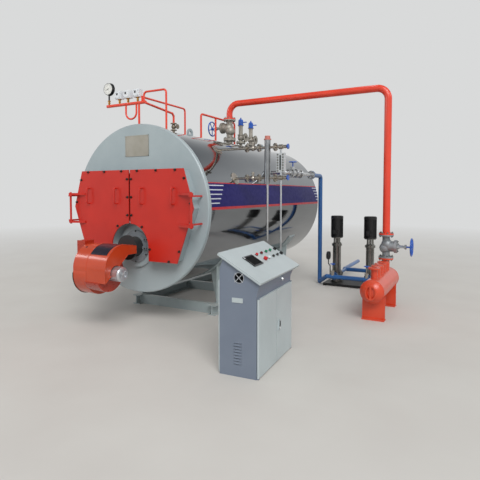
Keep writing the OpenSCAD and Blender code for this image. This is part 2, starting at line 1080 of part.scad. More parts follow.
// Spring safety valve with its side outlet towards +X
module safety_valve(y) {
  difference() {
    translate([0, y, axis_h])
      cylinder(r = safety_neck_r, h = safety_base - axis_h);
    drum_space();
  }
  translate([0, y, safety_base])
    difference() {
      union() {
        flange(safety_flange_d, safety_flange_t, 130, 4, 8);
        translate([0, 0, safety_flange_t])
          flange(safety_flange_d, safety_flange_t, 130, 4, 8);
        translate([0, 0, safety_port_z])
          sphere(r = safety_body_r);
        translate([0, 0, safety_port_z])
          rotate([0, 90, 0])
            cylinder(r = 42, h = safety_port_x + 13);
        translate([safety_port_x, 0, safety_port_z])
          rotate([0, 90, 0])
            flange(safety_flange_d - 5, safety_flange_t, 125, 4, 8, 0);
        cylinder(r = safety_bonnet_r, h = safety_h);
        translate([0, 0, safety_port_z + 40])
          cylinder(r = safety_body_r, h = 22);
        translate([0, 0, safety_h - 14])
          cylinder(r = safety_bonnet_r + 6, h = 14);
      }
      translate([safety_port_x - 40, 0, safety_port_z])
        rotate([0, 90, 0])
          cylinder(r = 34, h = 80);
    }
}

module safety_valves() {
  color("gainsboro")
    for (y = safety_ys)
      safety_valve(y);
}

cap_r = 46;
cap_h = 115;

// Blue cap over the spring's screw, with its lifting lever
module safety_caps() {
  color("dodgerblue")
    for (y = safety_ys)
      translate([0, y, safety_base + safety_h + seat]) {
        cylinder(r = cap_r, h = cap_h - 20);
        translate([0, 0, cap_h - 20])
          cylinder(r1 = cap_r, r2 = cap_r - 16, h = 20);
        cylinder(r = cap_r + 10, h = 14);
        cylinder(r = 13, h = cap_h + 30);
        translate([0, -9, cap_h / 2 - 9])
          cube([120, 18, 18]);
      }
}

vent_r = 17;
vent_x = -150;
vent_rise = 450;
vent_ys = [-340, 120, 800];
vent_bend = 50;

// Vent line over the crown with a branch between its two risers
module vent_pipe() {
  vent_z = shell_top + vent_rise;
  color("indianred")
    difference() {
      union() {
        pipe([
          [vent_x, vent_ys[0], axis_h],
          [vent_x, vent_ys[0], vent_z],
          [vent_x, vent_ys[2], vent_z],
          [vent_x, vent_ys[2], axis_h]
        ], vent_r, vent_bend);
        bar([vent_x, vent_ys[1], axis_h], [vent_x, vent_ys[1], vent_z], vent_r);
      }
      drum_space();
    }
}

sensor_y = front_y + 75;
sensor_z = shell_top + 325;
manifold_r = 20;
manifold_x = [-585, 90];
siphon_x = [-250, -70];
siphon_drop = 200;
top_run_rise = 130;
valve_line_y = sensor_y + 635;
valve_line_z = sensor_z - 85;
sensor_valve_z = shell_top + 35;
sensor_valve_l = 105;

// Outer skin that the small pipes end on
module skin_space() {
  drum_space();
  along_y(plate_r + seat, front_y - 10, front_y + plate_t + 0.1, axis_h);
}

// Pipe manifold along the front of the crown, with its riser, siphon and runs
module sensor_pipes() {
  color("tomato")
    difference() {
      union() {
        bar([manifold_x[0], sensor_y, sensor_z], [manifold_x[1], sensor_y, sensor_z], manifold_r);
        bar([-25, sensor_y, axis_h], [-25, sensor_y, sensor_z], 14);
        pipe([
          [60, sensor_y, sensor_z],
          [60, sensor_y, sensor_z + top_run_rise],
          [420, sensor_y, sensor_z + top_run_rise],
          [420, sensor_y, axis_h]
        ], 13, 45);
        pipe([
          [30, sensor_y, sensor_z + 70],
          [30, -1050, sensor_z + 70],
          [30, -1050, axis_h]
        ], 13, 45);
        bar([30, sensor_y, sensor_z], [30, sensor_y, sensor_z + 70 + 13], 13);
        bar([30, -1500, axis_h], [30, -1500, sensor_z + 70], 13);
        mitred([
          [60, sensor_y, sensor_z],
          [60, valve_line_y - 30, sensor_z - 52],
          [60, valve_line_y, valve_line_z],
          [60, valve_line_y, sensor_valve_z + sensor_valve_l + seat]
        ], 15, 2);
        pipe([
          [siphon_x[0], sensor_y, sensor_z],
          [siphon_x[0], sensor_y, sensor_z - siphon_drop],
          [siphon_x[1], sensor_y, sensor_z - siphon_drop],
          [siphon_x[1], sensor_y, sensor_z]
        ], 12, 85);
      }
      skin_space();
    }
}

// Small flanged angle valve on the crown at the end of the sloping run
module sensor_valve() {
  color("peru")
    difference() {
      union() {
        translate([60, valve_line_y, axis_h])
          cylinder(r = 18, h = sensor_valve_z - axis_h + 10);
        translate([60, valve_line_y, sensor_valve_z]) {
          flange(90, 12, 68, 4, 6);
          translate([0, 0, sensor_valve_l - 12])
            flange(90, 12, 68, 4, 6);
          cylinder(r = 20, h = sensor_valve_l);
          translate([0, 0, sensor_valve_l / 2])
            sphere(r = 34);
          translate([0, 0, sensor_valve_l / 2])
            rotate([0, 90, 0])
              cylinder(r = 16, h = 70);
          translate([64, 0, sensor_valve_l / 2])
            rotate([0, 90, 0])
              cylinder(r = 34, h = 10);
        }
      }
      drum_space();
    }
}

switch_xs = [-360, -210, -45];
switch_rise = 75;
switch_z = sensor_z + switch_rise;
switch_size = [110, 70, 100];
gauge_x = -550;
gauge_rise = 230;
gauge_r = 78;
gauge_t = 42;

// Brass stubs under the gauge and the switches
module sensor_stubs() {
  color("goldenrod")
    for (x = concat(switch_xs, [gauge_x]))
      difference() {
        translate([x, sensor_y, sensor_z]) {
          cylinder(r = 10, h = switch_z - sensor_z);
          translate([0, 0, 30])
            cylinder(r = 17, h = 22, $fn = 6);
          translate([0, 0, 62])
            cylinder(r = 20, h = switch_z - sensor_z - 62);
        }
        bar([x - 30, sensor_y, sensor_z], [x + 30, sensor_y, sensor_z], manifold_r + seat);
      }
}

module pressure_switches() {
  color("whitesmoke")
    for (x = switch_xs)
      translate([x - switch_size[0] / 2, sensor_y - switch_size[1] / 2, switch_z + seat]) {
        cube(switch_size);
        translate([8, -6, 12])
          cube([switch_size[0] - 16, 6, switch_size[2] - 24]);
      }
}

module pressure_gauge() {
  color("black") {
    translate([gauge_x, sensor_y, switch_z + seat])
      cylinder(r = 11, h = gauge_rise - switch_rise - gauge_r + 20);
    translate([gauge_x, sensor_y + gauge_t / 2, sensor_z + gauge_rise])
      rotate([90, 0, 0]) {
        cylinder(r = gauge_r, h = gauge_t);
        cylinder(r = gauge_r + 8, h = 6);
      }
  }
}

// Water level gauge

level_r = 16;
cock_x = column_x - 214;
cock_l = 93;
level_flange_r = 52;
level_flange_t = 22;
escutcheon_r = 85;
escutcheon_t = 8;

// Round cover where a gauge line enters the drum's cladding
module escutcheon(z) {
  angle = asin((z - axis_h) / shell_r);
  translate([0, -level_y, axis_h])
    rotate([0, -angle, 0])
      translate([shell_r - 30, 0, 0])
        rotate([0, 90, 0])
          cylinder(r = escutcheon_r, h = 30 + escutcheon_t);
}

module gauge_line(z) {
  difference() {
    union() {
      along_x(level_r, 0, glass_x + 45, -level_y, z);
      escutcheon(z);
      for (x = [column_x - 302, column_x - 121, column_x + 113])
        along_x(level_flange_r, x - level_flange_t / 2, x + level_flange_t / 2, -level_y, z);
      along_x(level_r + 12, cock_x - cock_l / 2, cock_x + cock_l / 2, -level_y, z);
      translate([cock_x, -level_y, z])
        sphere(r = 38);
      translate([cock_x, -level_y, z])
        cylinder(r = 17, h = 85);
      translate([cock_x, -level_y, z + 60])
        cylinder(r = 26, h = 12);
      along_x(30, glass_x - 28, glass_x + 28, -level_y, z);
      along_x(22, glass_x + 45, glass_x + 78, -level_y, z);
    }
    drum_space();
    translate([column_x, -level_y, z])
      cylinder(d = column_d + 2 * seat, h = 200, center = true);
  }
}

module level_pipes() {
  color("silver") {
    gauge_line(level_up_z);
    gauge_line(level_low_z);
  }
}

column_up = 98;
column_down = 82;
head_h = 52;
column_drain_z = 1070;
glass_drain_z = 970;

module level_column() {
  color("gray") {
    translate([column_x, -level_y, level_low_z - column_down])
      cylinder(d = column_d, h = level_up_z - level_low_z + column_down + column_up);
    translate([column_x, -level_y, column_drain_z])
      cylinder(r = 14, h = level_low_z - column_down - column_drain_z);
  }
}

// Electrode head on the column
module level_head() {
  color("rosybrown")
    translate([column_x, -level_y, level_up_z + column_up + seat]) {
      cylinder(r = column_d / 2 + 8, h = 14);
      cylinder(r = column_d / 2 - 4, h = head_h);
    }
}

glass_body = [113, 56];
glass_end = 70;
glass_end_up = 81;
slot_w = 22;

// Reflex glass body with its long sight slot, its end stubs and its drain
module level_glass() {
  z0 = level_low_z + glass_end;
  z1 = level_up_z - glass_end_up;
  color("lightcyan")
    difference() {
      union() {
        translate([glass_x - glass_body[0] / 2, -level_y - glass_body[1] / 2, z0])
          cube([glass_body[0], glass_body[1], z1 - z0]);
        translate([glass_x, -level_y, glass_drain_z])
          cylinder(r = 12, h = level_low_z - 30 - seat - glass_drain_z);
        translate([glass_x, -level_y, level_low_z + 30 + seat])
          cylinder(r = 14, h = glass_end);
        translate([glass_x, -level_y, z1 - 1])
          cylinder(r = 14, h = glass_end_up + 1 - 30 - seat);
      }
      translate([glass_x - slot_w / 2, -level_y - glass_body[1] / 2 - 1, z0 + 28])
        cube([slot_w, 8, z1 - z0 - 56]);
    }
}

small_wheel_r = 34;
small_wheel_l = 26;

pump_wheel_d = 96;
pump_wheel_z = 410;

// Blue hand wheels of the gauge cocks and of the pumps' stop valves
module small_wheels() {
  color("royalblue")
    for (z = [level_low_z, level_up_z])
      translate([glass_x + 78 + seat, -level_y, z])
        rotate([0, 90, 0]) {
          cylinder(r = 9, h = small_wheel_l);
          translate([0, 0, small_wheel_l - 12])
            cylinder(r = small_wheel_r, h = 12);
        }
  color("royalblue")
    for (x = pump_xs)
      translate([x, delivery_y, pump_wheel_z])
        hand_wheel(pump_wheel_d, 6, 13, 4, 7, pump_wheel_z - delivery_z - 205 - seat);
}

// Feed set

feed_flange_r = 72;
feed_flange_t = 20;
feed_valve_y = 80;
feed_valve_l = 190;
check_y = 300;
check_l = 150;
feed_face_y = 953;
feed_bend = 90;
feed_stem_r = 9;
feed_stem_z = 175;

// Check and stop valves of the feed line with their flanges
module feed_valves() {
  color("silver")
    difference() {
      union() {
        pipe([
          [0, -feed_start, feed_z],
          [feed_x, -feed_start, feed_z],
          [feed_x, feed_face_y - seat, feed_z]
        ], feed_r - 8, feed_bend);
        for (y = [feed_valve_y - feed_valve_l / 2, feed_valve_y + feed_valve_l / 2, check_y + check_l / 2])
          along_y(feed_flange_r, y - feed_flange_t, y + feed_flange_t, feed_z, feed_x);
        along_y(feed_flange_r, feed_face_y - seat - feed_flange_t, feed_face_y - seat, feed_z, feed_x);
        translate([feed_x, feed_valve_y, feed_z])
          sphere(r = 62);
        translate([feed_x, feed_valve_y, feed_z])
          cylinder(r = 34, h = 100);
        translate([feed_x, feed_valve_y, feed_z + 62])
          cylinder(r = 48, h = 16);
        translate([feed_x, check_y, feed_z])
          sphere(r = 54);
        translate([feed_x, check_y, feed_z])
          cylinder(r = 44, h = 66);
      }
      drum_space();
      translate([feed_x, feed_valve_y, feed_z + 50])
        cylinder(r = feed_stem_r + run, h = 100);
    }
}

feed_wheel_d = 130;

module feed_wheel() {
  color("royalblue")
    translate([feed_x, feed_valve_y, feed_z + feed_stem_z])
      hand_wheel(feed_wheel_d, 7, 16, 4, feed_stem_r, 115);
}

feed_low_z = 45;
delivery_y = 1340;
delivery_z = 175;
delivery_x0 = pump_x - 60;

// Feed pipe over to its drop, down to the floor and up into the delivery
module feed_pipe() {
  color("steelblue") {
    pipe([
      [feed_x, feed_face_y, feed_z],
      [feed_x, feed_drop_y, feed_z],
      [feed_x, feed_drop_y, axis_h]
    ], feed_r, 55);
    mitred([
      [feed_x, feed_drop_y, axis_h],
      [feed_x, feed_drop_y, feed_low_z],
      [delivery_x0 - 50, delivery_y, delivery_z],
      [delivery_x0, delivery_y, delivery_z]
    ], feed_r, 3);
    along_y(feed_flange_r + 3, feed_face_y, feed_face_y + feed_flange_t, feed_z, feed_x);
  }
}

skid_h = 50;
skid_over = 180;
skid_l = 520;
skid_wall = 6;
skid_flange = 50;

// Folded sheet skid, open underneath
module pump_skid() {
  w = pump_pitch + 2 * skid_over;
  color("darkslategray")
    translate([pump_x - skid_over, pump_y - skid_l / 2, 0])
      difference() {
        cube([w, skid_l, skid_h]);
        translate([skid_wall, skid_wall, -1])
          cube([w - 2 * skid_wall, skid_l - 2 * skid_wall, skid_h - skid_wall + 1]);
        translate([skid_flange, -1, -1])
          cube([w - 2 * skid_flange, skid_l + 2, 21]);
      }
}

pump_foot_h = 30;
port_z = 200;
port_box = [180, 320];
barrel_h = 690;
lantern_h = 145;
tie_r = 8;
tie_out = 76;

// Pump foot with its two ports, barrel between four tie rods, and coupling lantern
module pump_barrels() {
  color("dimgray")
    for (x = pump_xs)
      translate([x, pump_y, skid_h]) {
        cylinder(r = 110, h = pump_foot_h);
        cylinder(r = 88, h = port_z);
        translate([0, 0, port_z - skid_h - 25])
          rotate([90, 0, 0])
            cylinder(r = 40, h = port_box[1], center = true);
        for (s = [-1, 1])
          translate([0, s * (port_box[1] / 2 - 9), port_z - skid_h - 25])
            rotate([90, 0, 0])
              cylinder(r = 75, h = 18, center = true);
        cylinder(d = pump_barrel_d, h = barrel_h);
        translate([0, 0, barrel_h - 20])
          cylinder(r = 92, h = 40);
        for (i = [0:3])
          rotate([0, 0, 45 + i * 90])
            translate([tie_out, 0, 0])
              cylinder(r = tie_r, h = barrel_h, $fn = 24);
        difference() {
          translate([0, 0, barrel_h])
            cylinder(r = 62, h = lantern_h);
          translate([-31, -100, barrel_h + 36])
            cube([62, 200, lantern_h - 60]);
        }
        translate([0, 0, barrel_h])
          cylinder(r = 15, h = lantern_h);
        translate([0, 0, barrel_h + lantern_h - 16])
          cylinder(r = pump_motor_d / 2 - 10, h = 16);
      }
}

motor_z = skid_h + barrel_h + lantern_h + seat;
motor_cap_h = 60;
pump_fins = 24;
pump_fin_h = 9;

// Flange motors with ribs along the barrel and a fan cowl on top
module pump_motors() {
  h = pump_h - motor_z - motor_cap_h;
  r = pump_motor_d / 2;
  color("black")
    for (x = pump_xs)
      translate([x, pump_y, motor_z]) {
        cylinder(r = r - pump_fin_h, h = h + 5);
        cylinder(r = r, h = 18);
        for (i = [0:pump_fins - 1])
          rotate([0, 0, i * 360 / pump_fins])
            translate([r - 2 * pump_fin_h, -2, 2])
              cube([2 * pump_fin_h - 2, 4, h]);
        translate([0, 0, h])
          cylinder(r = r, h = motor_cap_h - 14);
        translate([0, 0, h + motor_cap_h - 14])
          cylinder(r1 = r, r2 = r - 14, h = 14);
        translate([-38, -r - 34, 60])
          cube([76, 44, 80]);
      }
}

branch_r = 30;
port_face = port_box[1] / 2;

// Delivery pipe in front of the pumps, with a branch to each
module pump_delivery() {
  color("steelblue")
    difference() {
      union() {
        bar([delivery_x0, delivery_y, delivery_z], [pump_xs[1] + 60, delivery_y, delivery_z], feed_r);
        for (x = pump_xs) {
          bar([x, delivery_y, delivery_z], [x, pump_y - port_face - seat, delivery_z], branch_r);
          along_y(72, pump_y - port_face - seat - 18, pump_y - port_face - seat, delivery_z, x);
        }
      }
      for (x = pump_xs)
        translate([x, delivery_y, delivery_z + 60])
          cylinder(r = 20, h = 10);
    }
}

// Stop valves on the two delivery branches
module pump_valves() {
  color("darkgray")
    for (x = pump_xs)
      difference() {
        union() {
          translate([x, delivery_y, delivery_z])
            cylinder(r = 30, h = 110);
          translate([x, delivery_y, delivery_z + 92])
            cylinder(r = 36, h = 18);
          translate([x, delivery_y, delivery_z])
            cylinder(r = 9, h = 205);
        }
        bar([x - 90, delivery_y, delivery_z], [x + 90, delivery_y, delivery_z], feed_r + seat);
        bar([x, delivery_y, delivery_z], [x, delivery_y + 90, delivery_z], branch_r + seat);
      }
}

suction_y = 650;
suction_z = 175;
suction_end_y = 3440;
suction_gap = 40;

// Suction pipe behind the pumps, with the run that goes off to the rear
module pump_suction() {
  x0 = pump_xs[0] - suction_gap;
  y = pump_y + suction_y;
  color("steelblue") {
    pipe([
      [pump_xs[1] + feed_r, y, suction_z],
      [x0, y, suction_z],
      [x0, suction_end_y, suction_z]
    ], feed_r, 60);
    for (x = pump_xs) {
      bar([x, pump_y + port_face + seat, suction_z], [x, y, suction_z], branch_r);
      along_y(72, pump_y + port_face + seat, pump_y + port_face + seat + 18, suction_z, x);
    }
  }
}

pump_gauge_x = pump_x - 80;
pump_gauge_z = 562;
pump_gauge_r = 75;

// Gauge over the delivery pipe, with its siphon tube
module pump_gauge() {
  x = delivery_x0 + 12;
  color("black")
    difference() {
      union() {
        mitred([
          [x, delivery_y, delivery_z],
          [x, delivery_y, pump_gauge_z - 190],
          [pump_gauge_x, delivery_y, pump_gauge_z - 150],
          [pump_gauge_x, delivery_y, pump_gauge_z]
        ], 9, 1.5);
        along_x(pump_gauge_r, pump_gauge_x - 20, pump_gauge_x + 20, delivery_y, pump_gauge_z);
      }
      bar([x - 60, delivery_y, delivery_z], [x + 60, delivery_y, delivery_z], feed_r + seat);
    }
}

// Control desk, built about its back corner and turned as one

lid_t = 24;
lid_over = 28;
desk_neck_x = 28;
desk_shoulder_z = 745;
desk_band_z = 805;
desk_top_x = 405;
desk_back_z = 995;
desk_peak_z = desk_high - 50;
desk_door_z0 = 12;
desk_door_z1 = 740;
desk_leaf_t = 20;
lid_run = desk_top_x + lid_over;
lid_angle = atan2(desk_high - desk_low, lid_run);
lid_len = lid_run / cos(lid_angle);
lid_y0 = -30;
lid_y1 = desk_w + 160;
desk_in = 45;

module desk_place() {
  translate([desk_x, -desk_y, 0])
    rotate([0, 0, desk_turn])
      children();
}

// Side outline of the desk body, in X and Z, drawn inwards by a wall
module desk_outline(cut) {
  polygon([
    [cut, cut],
    [desk_d - cut, cut],
    [desk_d - cut, desk_shoulder_z],
    [desk_top_x - 24 - cut, desk_band_z],
    [desk_top_x - cut, desk_band_z + 60 - cut],
    [desk_top_x - cut, desk_low - lid_t - cut],
    [desk_neck_x + 12 + cut, desk_peak_z - 1.6 * cut],
    [desk_neck_x + cut, desk_peak_z - 25 - cut],
    [cut, desk_back_z - cut]
  ]);
}

module desk_slab(y0, y1) {
  translate([0, y1, 0])
    rotate([90, 0, 0])
      linear_extrude(y1 - y0)
        children();
}

fan_hole_x = 199;
fan_hole_z = 925;
fan_hole_r = 46;
louvre_x = 146;
louvre_z = 114;
louvre_l = 80;
louvre_h = 12;
louvre_pitch = 28;
louvre_count = 8;
hinge_pin_r = 5;
hinge_r = 11;
hinge_deep = 20;
hinge_in = 14;
bracket_h = 8;
hinge_axis_x = desk_d + seat + hinge_r;
hinge_axis_ys = [hinge_in, desk_w - hinge_in];

// Hinge bracket with its pin, above or below a leaf
module desk_bracket(y, z, up) {
  translate([desk_d - 2, y - hinge_r - 1, up > 0 ? z : z - bracket_h])
    cube([hinge_axis_x - desk_d + hinge_r, 2 * hinge_r + 2, bracket_h]);
  translate([hinge_axis_x, y, up > 0 ? z - hinge_deep + 2 : z - 1])
    cylinder(r = hinge_pin_r, h = hinge_deep - 1);
}

module desk_body() {
  color("slategray")
    desk_place() {
      difference() {
        desk_slab(0, desk_w)
          desk_outline(0);
        desk_slab(desk_wall, desk_w - desk_wall)
          desk_outline(desk_wall);
        translate([desk_d - desk_wall - 1, desk_in, desk_in])
          cube([desk_wall + 2, desk_w - 2 * desk_in, desk_door_z1 - 2 * desk_in]);
        translate([fan_hole_x, -1, fan_hole_z])
          rotate([-90, 0, 0])
            cylinder(r = fan_hole_r, h = desk_wall + 2);
        for (i = [0:louvre_count - 1])
          translate([louvre_x, -1, louvre_z + i * louvre_pitch])
            cube([louvre_l, desk_wall + 2, louvre_h]);
      }
      for (y = hinge_axis_ys) {
        desk_bracket(y, desk_door_z1 + seat, 1);
        desk_bracket(y, desk_door_z0 - seat, -1);
      }
    }
}

back_t = 18;

// Back panel that stands proud of the body
module desk_back() {
  color("gainsboro")
    desk_place()
      translate([-back_t - seat, desk_wall, desk_door_z0])
        cube([back_t, desk_w - 2 * desk_wall, desk_back_z - 120]);
}

// Frame on the lid's top face: x down the slope from the high edge, z out of it
module lid_place() {
  desk_place()
    translate([0, 0, desk_high])
      rotate([0, lid_angle, 0])
        children();
}

module desk_lid() {
  color("gainsboro")
    difference() {
      lid_place()
        translate([0, lid_y0, -lid_t])
          cube([lid_len, lid_y1 - lid_y0, lid_t]);
      desk_place()
        desk_slab(-1, desk_w + 1)
          desk_outline(-seat);
    }
}

// Door leaf with its rounded hinge edge at y = hinge_in, reaching to y = end
module desk_leaf(end) {
  z0 = desk_door_z0;
  h = desk_door_z1 - desk_door_z0;
  difference() {
    union() {
      translate([hinge_axis_x, hinge_in, z0])
        cylinder(r = hinge_r, h = h);
      translate([hinge_axis_x - hinge_r, hinge_in, z0])
        cube([desk_leaf_t, end - hinge_in, h]);
    }
    for (z = [z0 - 1, z0 + h - hinge_deep])
      translate([hinge_axis_x, hinge_in, z])
        cylinder(r = hinge_pin_r + run, h = hinge_deep + 1);
  }
}

desk_seam = 4;
pull_z = [321, 426];
pull_w = 32;
pull_out = 16;

module desk_door_left() {
  color("gainsboro")
    desk_place()
      desk_leaf(desk_w / 2 - desk_seam);
}

// Right leaf, which carries the flush lock handle
module desk_door_right() {
  color("gainsboro")
    desk_place() {
      translate([0, desk_w, 0])
        mirror([0, 1, 0])
          desk_leaf(desk_w / 2 - desk_seam);
      translate([desk_d + desk_leaf_t - 2, desk_w / 2 + 40, pull_z[0]])
        cube([pull_out, pull_w, pull_z[1] - pull_z[0]]);
    }
}

screen_x = [150, 304];
screen_y = [225, 445];
screen_t = 10;
button_r = 17;
button_h = 22;
button_rows = [
  [171, 535], [171, 663], [171, 797], [171, 916],
  [261, 581], [261, 689], [261, 824], [261, 943]
];
switch_row = [[171, 1066], [261, 1066]];
knob_y = 602;
knob_z = 835;
knob_r = 16;
band_tilt = atan2(24, 60);

// Screen bezel, push buttons, rotary switches and the knob on the front band
module desk_controls() {
  color("black") {
    lid_place() {
      translate([screen_x[0], screen_y[0], seat])
        difference() {
          cube([screen_x[1] - screen_x[0], screen_y[1] - screen_y[0], screen_t]);
          translate([14, 14, screen_t - 3])
            cube([screen_x[1] - screen_x[0] - 28, screen_y[1] - screen_y[0] - 28, 4]);
        }
      for (p = button_rows)
        translate([p[0], p[1], seat]) {
          cylinder(r = button_r, h = 6);
          cylinder(r = button_r - 4, h = button_h);
        }
      for (p = switch_row)
        translate([p[0], p[1], seat]) {
          cylinder(r = button_r + 3, h = 14);
          translate([-button_r, -4, 0])
            cube([2 * button_r, 8, button_h + 4]);
        }
    }
    desk_place()
      translate([desk_top_x - 12, knob_y, knob_z])
        rotate([0, 90 + band_tilt, 0])
          translate([0, 0, seat])
            cylinder(r = knob_r, h = 26);
  }
}

// Nodes

base_frame();
saddles();
shell();
front_plate();
rear_plate();
flue_outlet();
smokebox_frame();
door_hinge_lugs();
door_left();
door_left_fittings();
door_right();
door_right_fittings();
burner_plate();
burner_neck();
burner_duct();
burner_scroll();
burner_inlet();
burner_motor();
burner_box();
nameplate();
lifting_lugs();
main_valve_body();
main_valve_yoke();
main_valve_wheel();
steam_main();
header_valve_body();
header_valve_yoke();
header_valve_wheel();
steam_header();
header_legs();
safety_valves();
safety_caps();
vent_pipe();
sensor_pipes();
sensor_valve();
sensor_stubs();
pressure_gauge();
pressure_switches();
level_pipes();
level_column();
level_head();
level_glass();
small_wheels();
feed_valves();
feed_wheel();
feed_pipe();
pump_skid();
pump_barrels();
pump_motors();
pump_delivery();
pump_valves();
pump_suction();
pump_gauge();
desk_body();
desk_back();
desk_lid();
desk_door_left();
desk_door_right();
desk_controls();
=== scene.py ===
"""Looks of a horizontal fire-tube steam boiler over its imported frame.

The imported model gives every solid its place. This script dresses those solids in their real finishes,
adds the small fasteners, trims, films and dials that stay out of the solids, and sets the camera, the
lamps and the floor. Lengths are in millimetres in the classes' fields and in metres once they are placed.
"""
import logging
import math
from dataclasses import dataclass
from enum import Enum
from typing import Any, Iterable, Optional, Sequence

import bmesh
import bpy
from mathutils import Matrix, Vector


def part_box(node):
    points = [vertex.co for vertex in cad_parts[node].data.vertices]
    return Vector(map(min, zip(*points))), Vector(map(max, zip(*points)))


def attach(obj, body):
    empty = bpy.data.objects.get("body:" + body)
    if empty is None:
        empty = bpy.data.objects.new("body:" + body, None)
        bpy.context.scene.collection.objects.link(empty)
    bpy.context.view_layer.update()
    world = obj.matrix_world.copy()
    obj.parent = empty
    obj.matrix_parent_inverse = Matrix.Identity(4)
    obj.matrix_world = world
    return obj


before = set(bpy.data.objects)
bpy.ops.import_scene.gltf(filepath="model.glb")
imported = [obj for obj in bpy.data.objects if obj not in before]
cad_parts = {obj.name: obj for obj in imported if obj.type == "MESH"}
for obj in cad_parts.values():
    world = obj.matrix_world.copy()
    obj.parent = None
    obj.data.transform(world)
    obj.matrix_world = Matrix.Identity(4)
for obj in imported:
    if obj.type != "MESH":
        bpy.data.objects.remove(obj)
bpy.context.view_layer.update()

LOG = logging.getLogger("boiler")
MM = 0.001
# Angle in degrees below which an edge is shaded smooth.
SMOOTH_BELOW = 35.0
Pair = tuple[float, float]


class Body(Enum):
    """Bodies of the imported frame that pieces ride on."""

    BOILER = "boiler"
    DOOR_LEFT = "door_left"
    DOOR_RIGHT = "door_right"
    DESK_LEFT = "desk_leaf_left"
    DESK_RIGHT = "desk_leaf_right"


class Side(Enum):
    """Left or right of the boiler, seen from its burner end."""

    LEFT = -1
    RIGHT = 1


# Colours and nodes


def linear(hex_colour: str, alpha: float = 1.0) -> tuple[float, float, float, float]:
    """Turns an sRGB hex colour into linear light.

    Args:
        hex_colour: Colour such as "#A0B0C0".
        alpha: Opacity put behind the three channels.

    Returns:
        Linear red, green, blue and the alpha.
    """
    channels = [int(hex_colour[i:i + 2], 16) / 255 for i in (1, 3, 5)]
    light = [c / 12.92 if c <= 0.04045 else ((c + 0.055) / 1.055) ** 2.4 for c in channels]
    return (light[0], light[1], light[2], alpha)


def add_node(
    tree: bpy.types.NodeTree,
    kind: str,
    settings: Optional[dict[str, Any]] = None,
    inputs: Optional[dict[Any, Any]] = None,
) -> bpy.types.Node:
    """Adds a shader node with its settings, and its inputs as values or links.

    Args:
        tree: Node tree that gets the node.
        kind: Blender's name of the node's type.
        settings: Properties of the node by name.
        inputs: Socket name or index to a value, or to the output socket to link from.

    Returns:
        The new node.
    """
    node = tree.nodes.new(kind)
    for name, value in (settings or {}).items():
        setattr(node, name, value)
    for key, value in (inputs or {}).items():
        if isinstance(value, bpy.types.NodeSocket):
            tree.links.new(value, node.inputs[key])
        else:
            node.inputs[key].default_value = value
    return node


class Finish:
    """A finish that makes its material once and then hands out the same one."""

    name: str

    def material(self) -> bpy.types.Material:
        """Returns the finish's material, made on first use."""
        made = bpy.data.materials.get(self.name)
        if made is None:
            made = bpy.data.materials.new(self.name)
            made.use_nodes = True
            made.node_tree.nodes.clear()
            surface = add_node(made.node_tree, "ShaderNodeBsdfPrincipled")
            add_node(made.node_tree, "ShaderNodeOutputMaterial", None, {"Surface": surface.outputs[0]})
            self.build(made.node_tree, surface)
        return made

    def build(self, tree: bpy.types.NodeTree, surface: bpy.types.Node) -> None:
        """Sets up the nodes of the finish.

        Args:
            tree: Node tree of the material.
            surface: Its principled shader.
        """
        raise NotImplementedError

    def noise(self, tree: bpy.types.NodeTree, size_mm: float, detail: float = 2.0,
              stretch: Sequence[float] = (1, 1, 1)) -> bpy.types.NodeSocket:
        """Adds a noise of a real size in the piece's own space.

        Args:
            tree: Node tree of the material.
            size_mm: Size of one patch of the noise in mm.
            detail: Octaves of the noise.
            stretch: Scale along each axis, below 1 for streaks along it.

        Returns:
            The noise's factor socket.
        """
        place = add_node(tree, "ShaderNodeTexCoord")
        spread = add_node(tree, "ShaderNodeMapping", None,
                          {"Vector": place.outputs["Object"], "Scale": tuple(stretch)})
        grain = add_node(tree, "ShaderNodeTexNoise", None,
                         {"Vector": spread.outputs[0], "Scale": 1 / (size_mm * MM), "Detail": detail})
        return grain.outputs["Fac"]

    def between(self, tree: bpy.types.NodeTree, factor: bpy.types.NodeSocket, low: float, high: float,
                start: float = 0.3, end: float = 0.7) -> bpy.types.NodeSocket:
        """Spreads a factor over a range of values.

        Args:
            tree: Node tree of the material.
            factor: Socket to spread.
            low: Value at the range's start.
            high: Value at the range's end.
            start: Factor that gives the low value.
            end: Factor that gives the high value.

        Returns:
            The spread socket.
        """
        spread = add_node(tree, "ShaderNodeMapRange", None, {
            "Value": factor, "From Min": start, "From Max": end, "To Min": low, "To Max": high})
        return spread.outputs[0]

    def blend(self, tree: bpy.types.NodeTree, factor: Any, first: Any, second: Any) -> bpy.types.NodeSocket:
        """Mixes two colours by a factor.

        Args:
            tree: Node tree of the material.
            factor: Factor socket, 0 for the first colour.
            first: Colour value or socket.
            second: Colour value or socket.

        Returns:
            The mixed colour's socket.
        """
        mix = add_node(tree, "ShaderNodeMix", {"data_type": "RGBA"}, {0: factor, 6: first, 7: second})
        return mix.outputs[2]


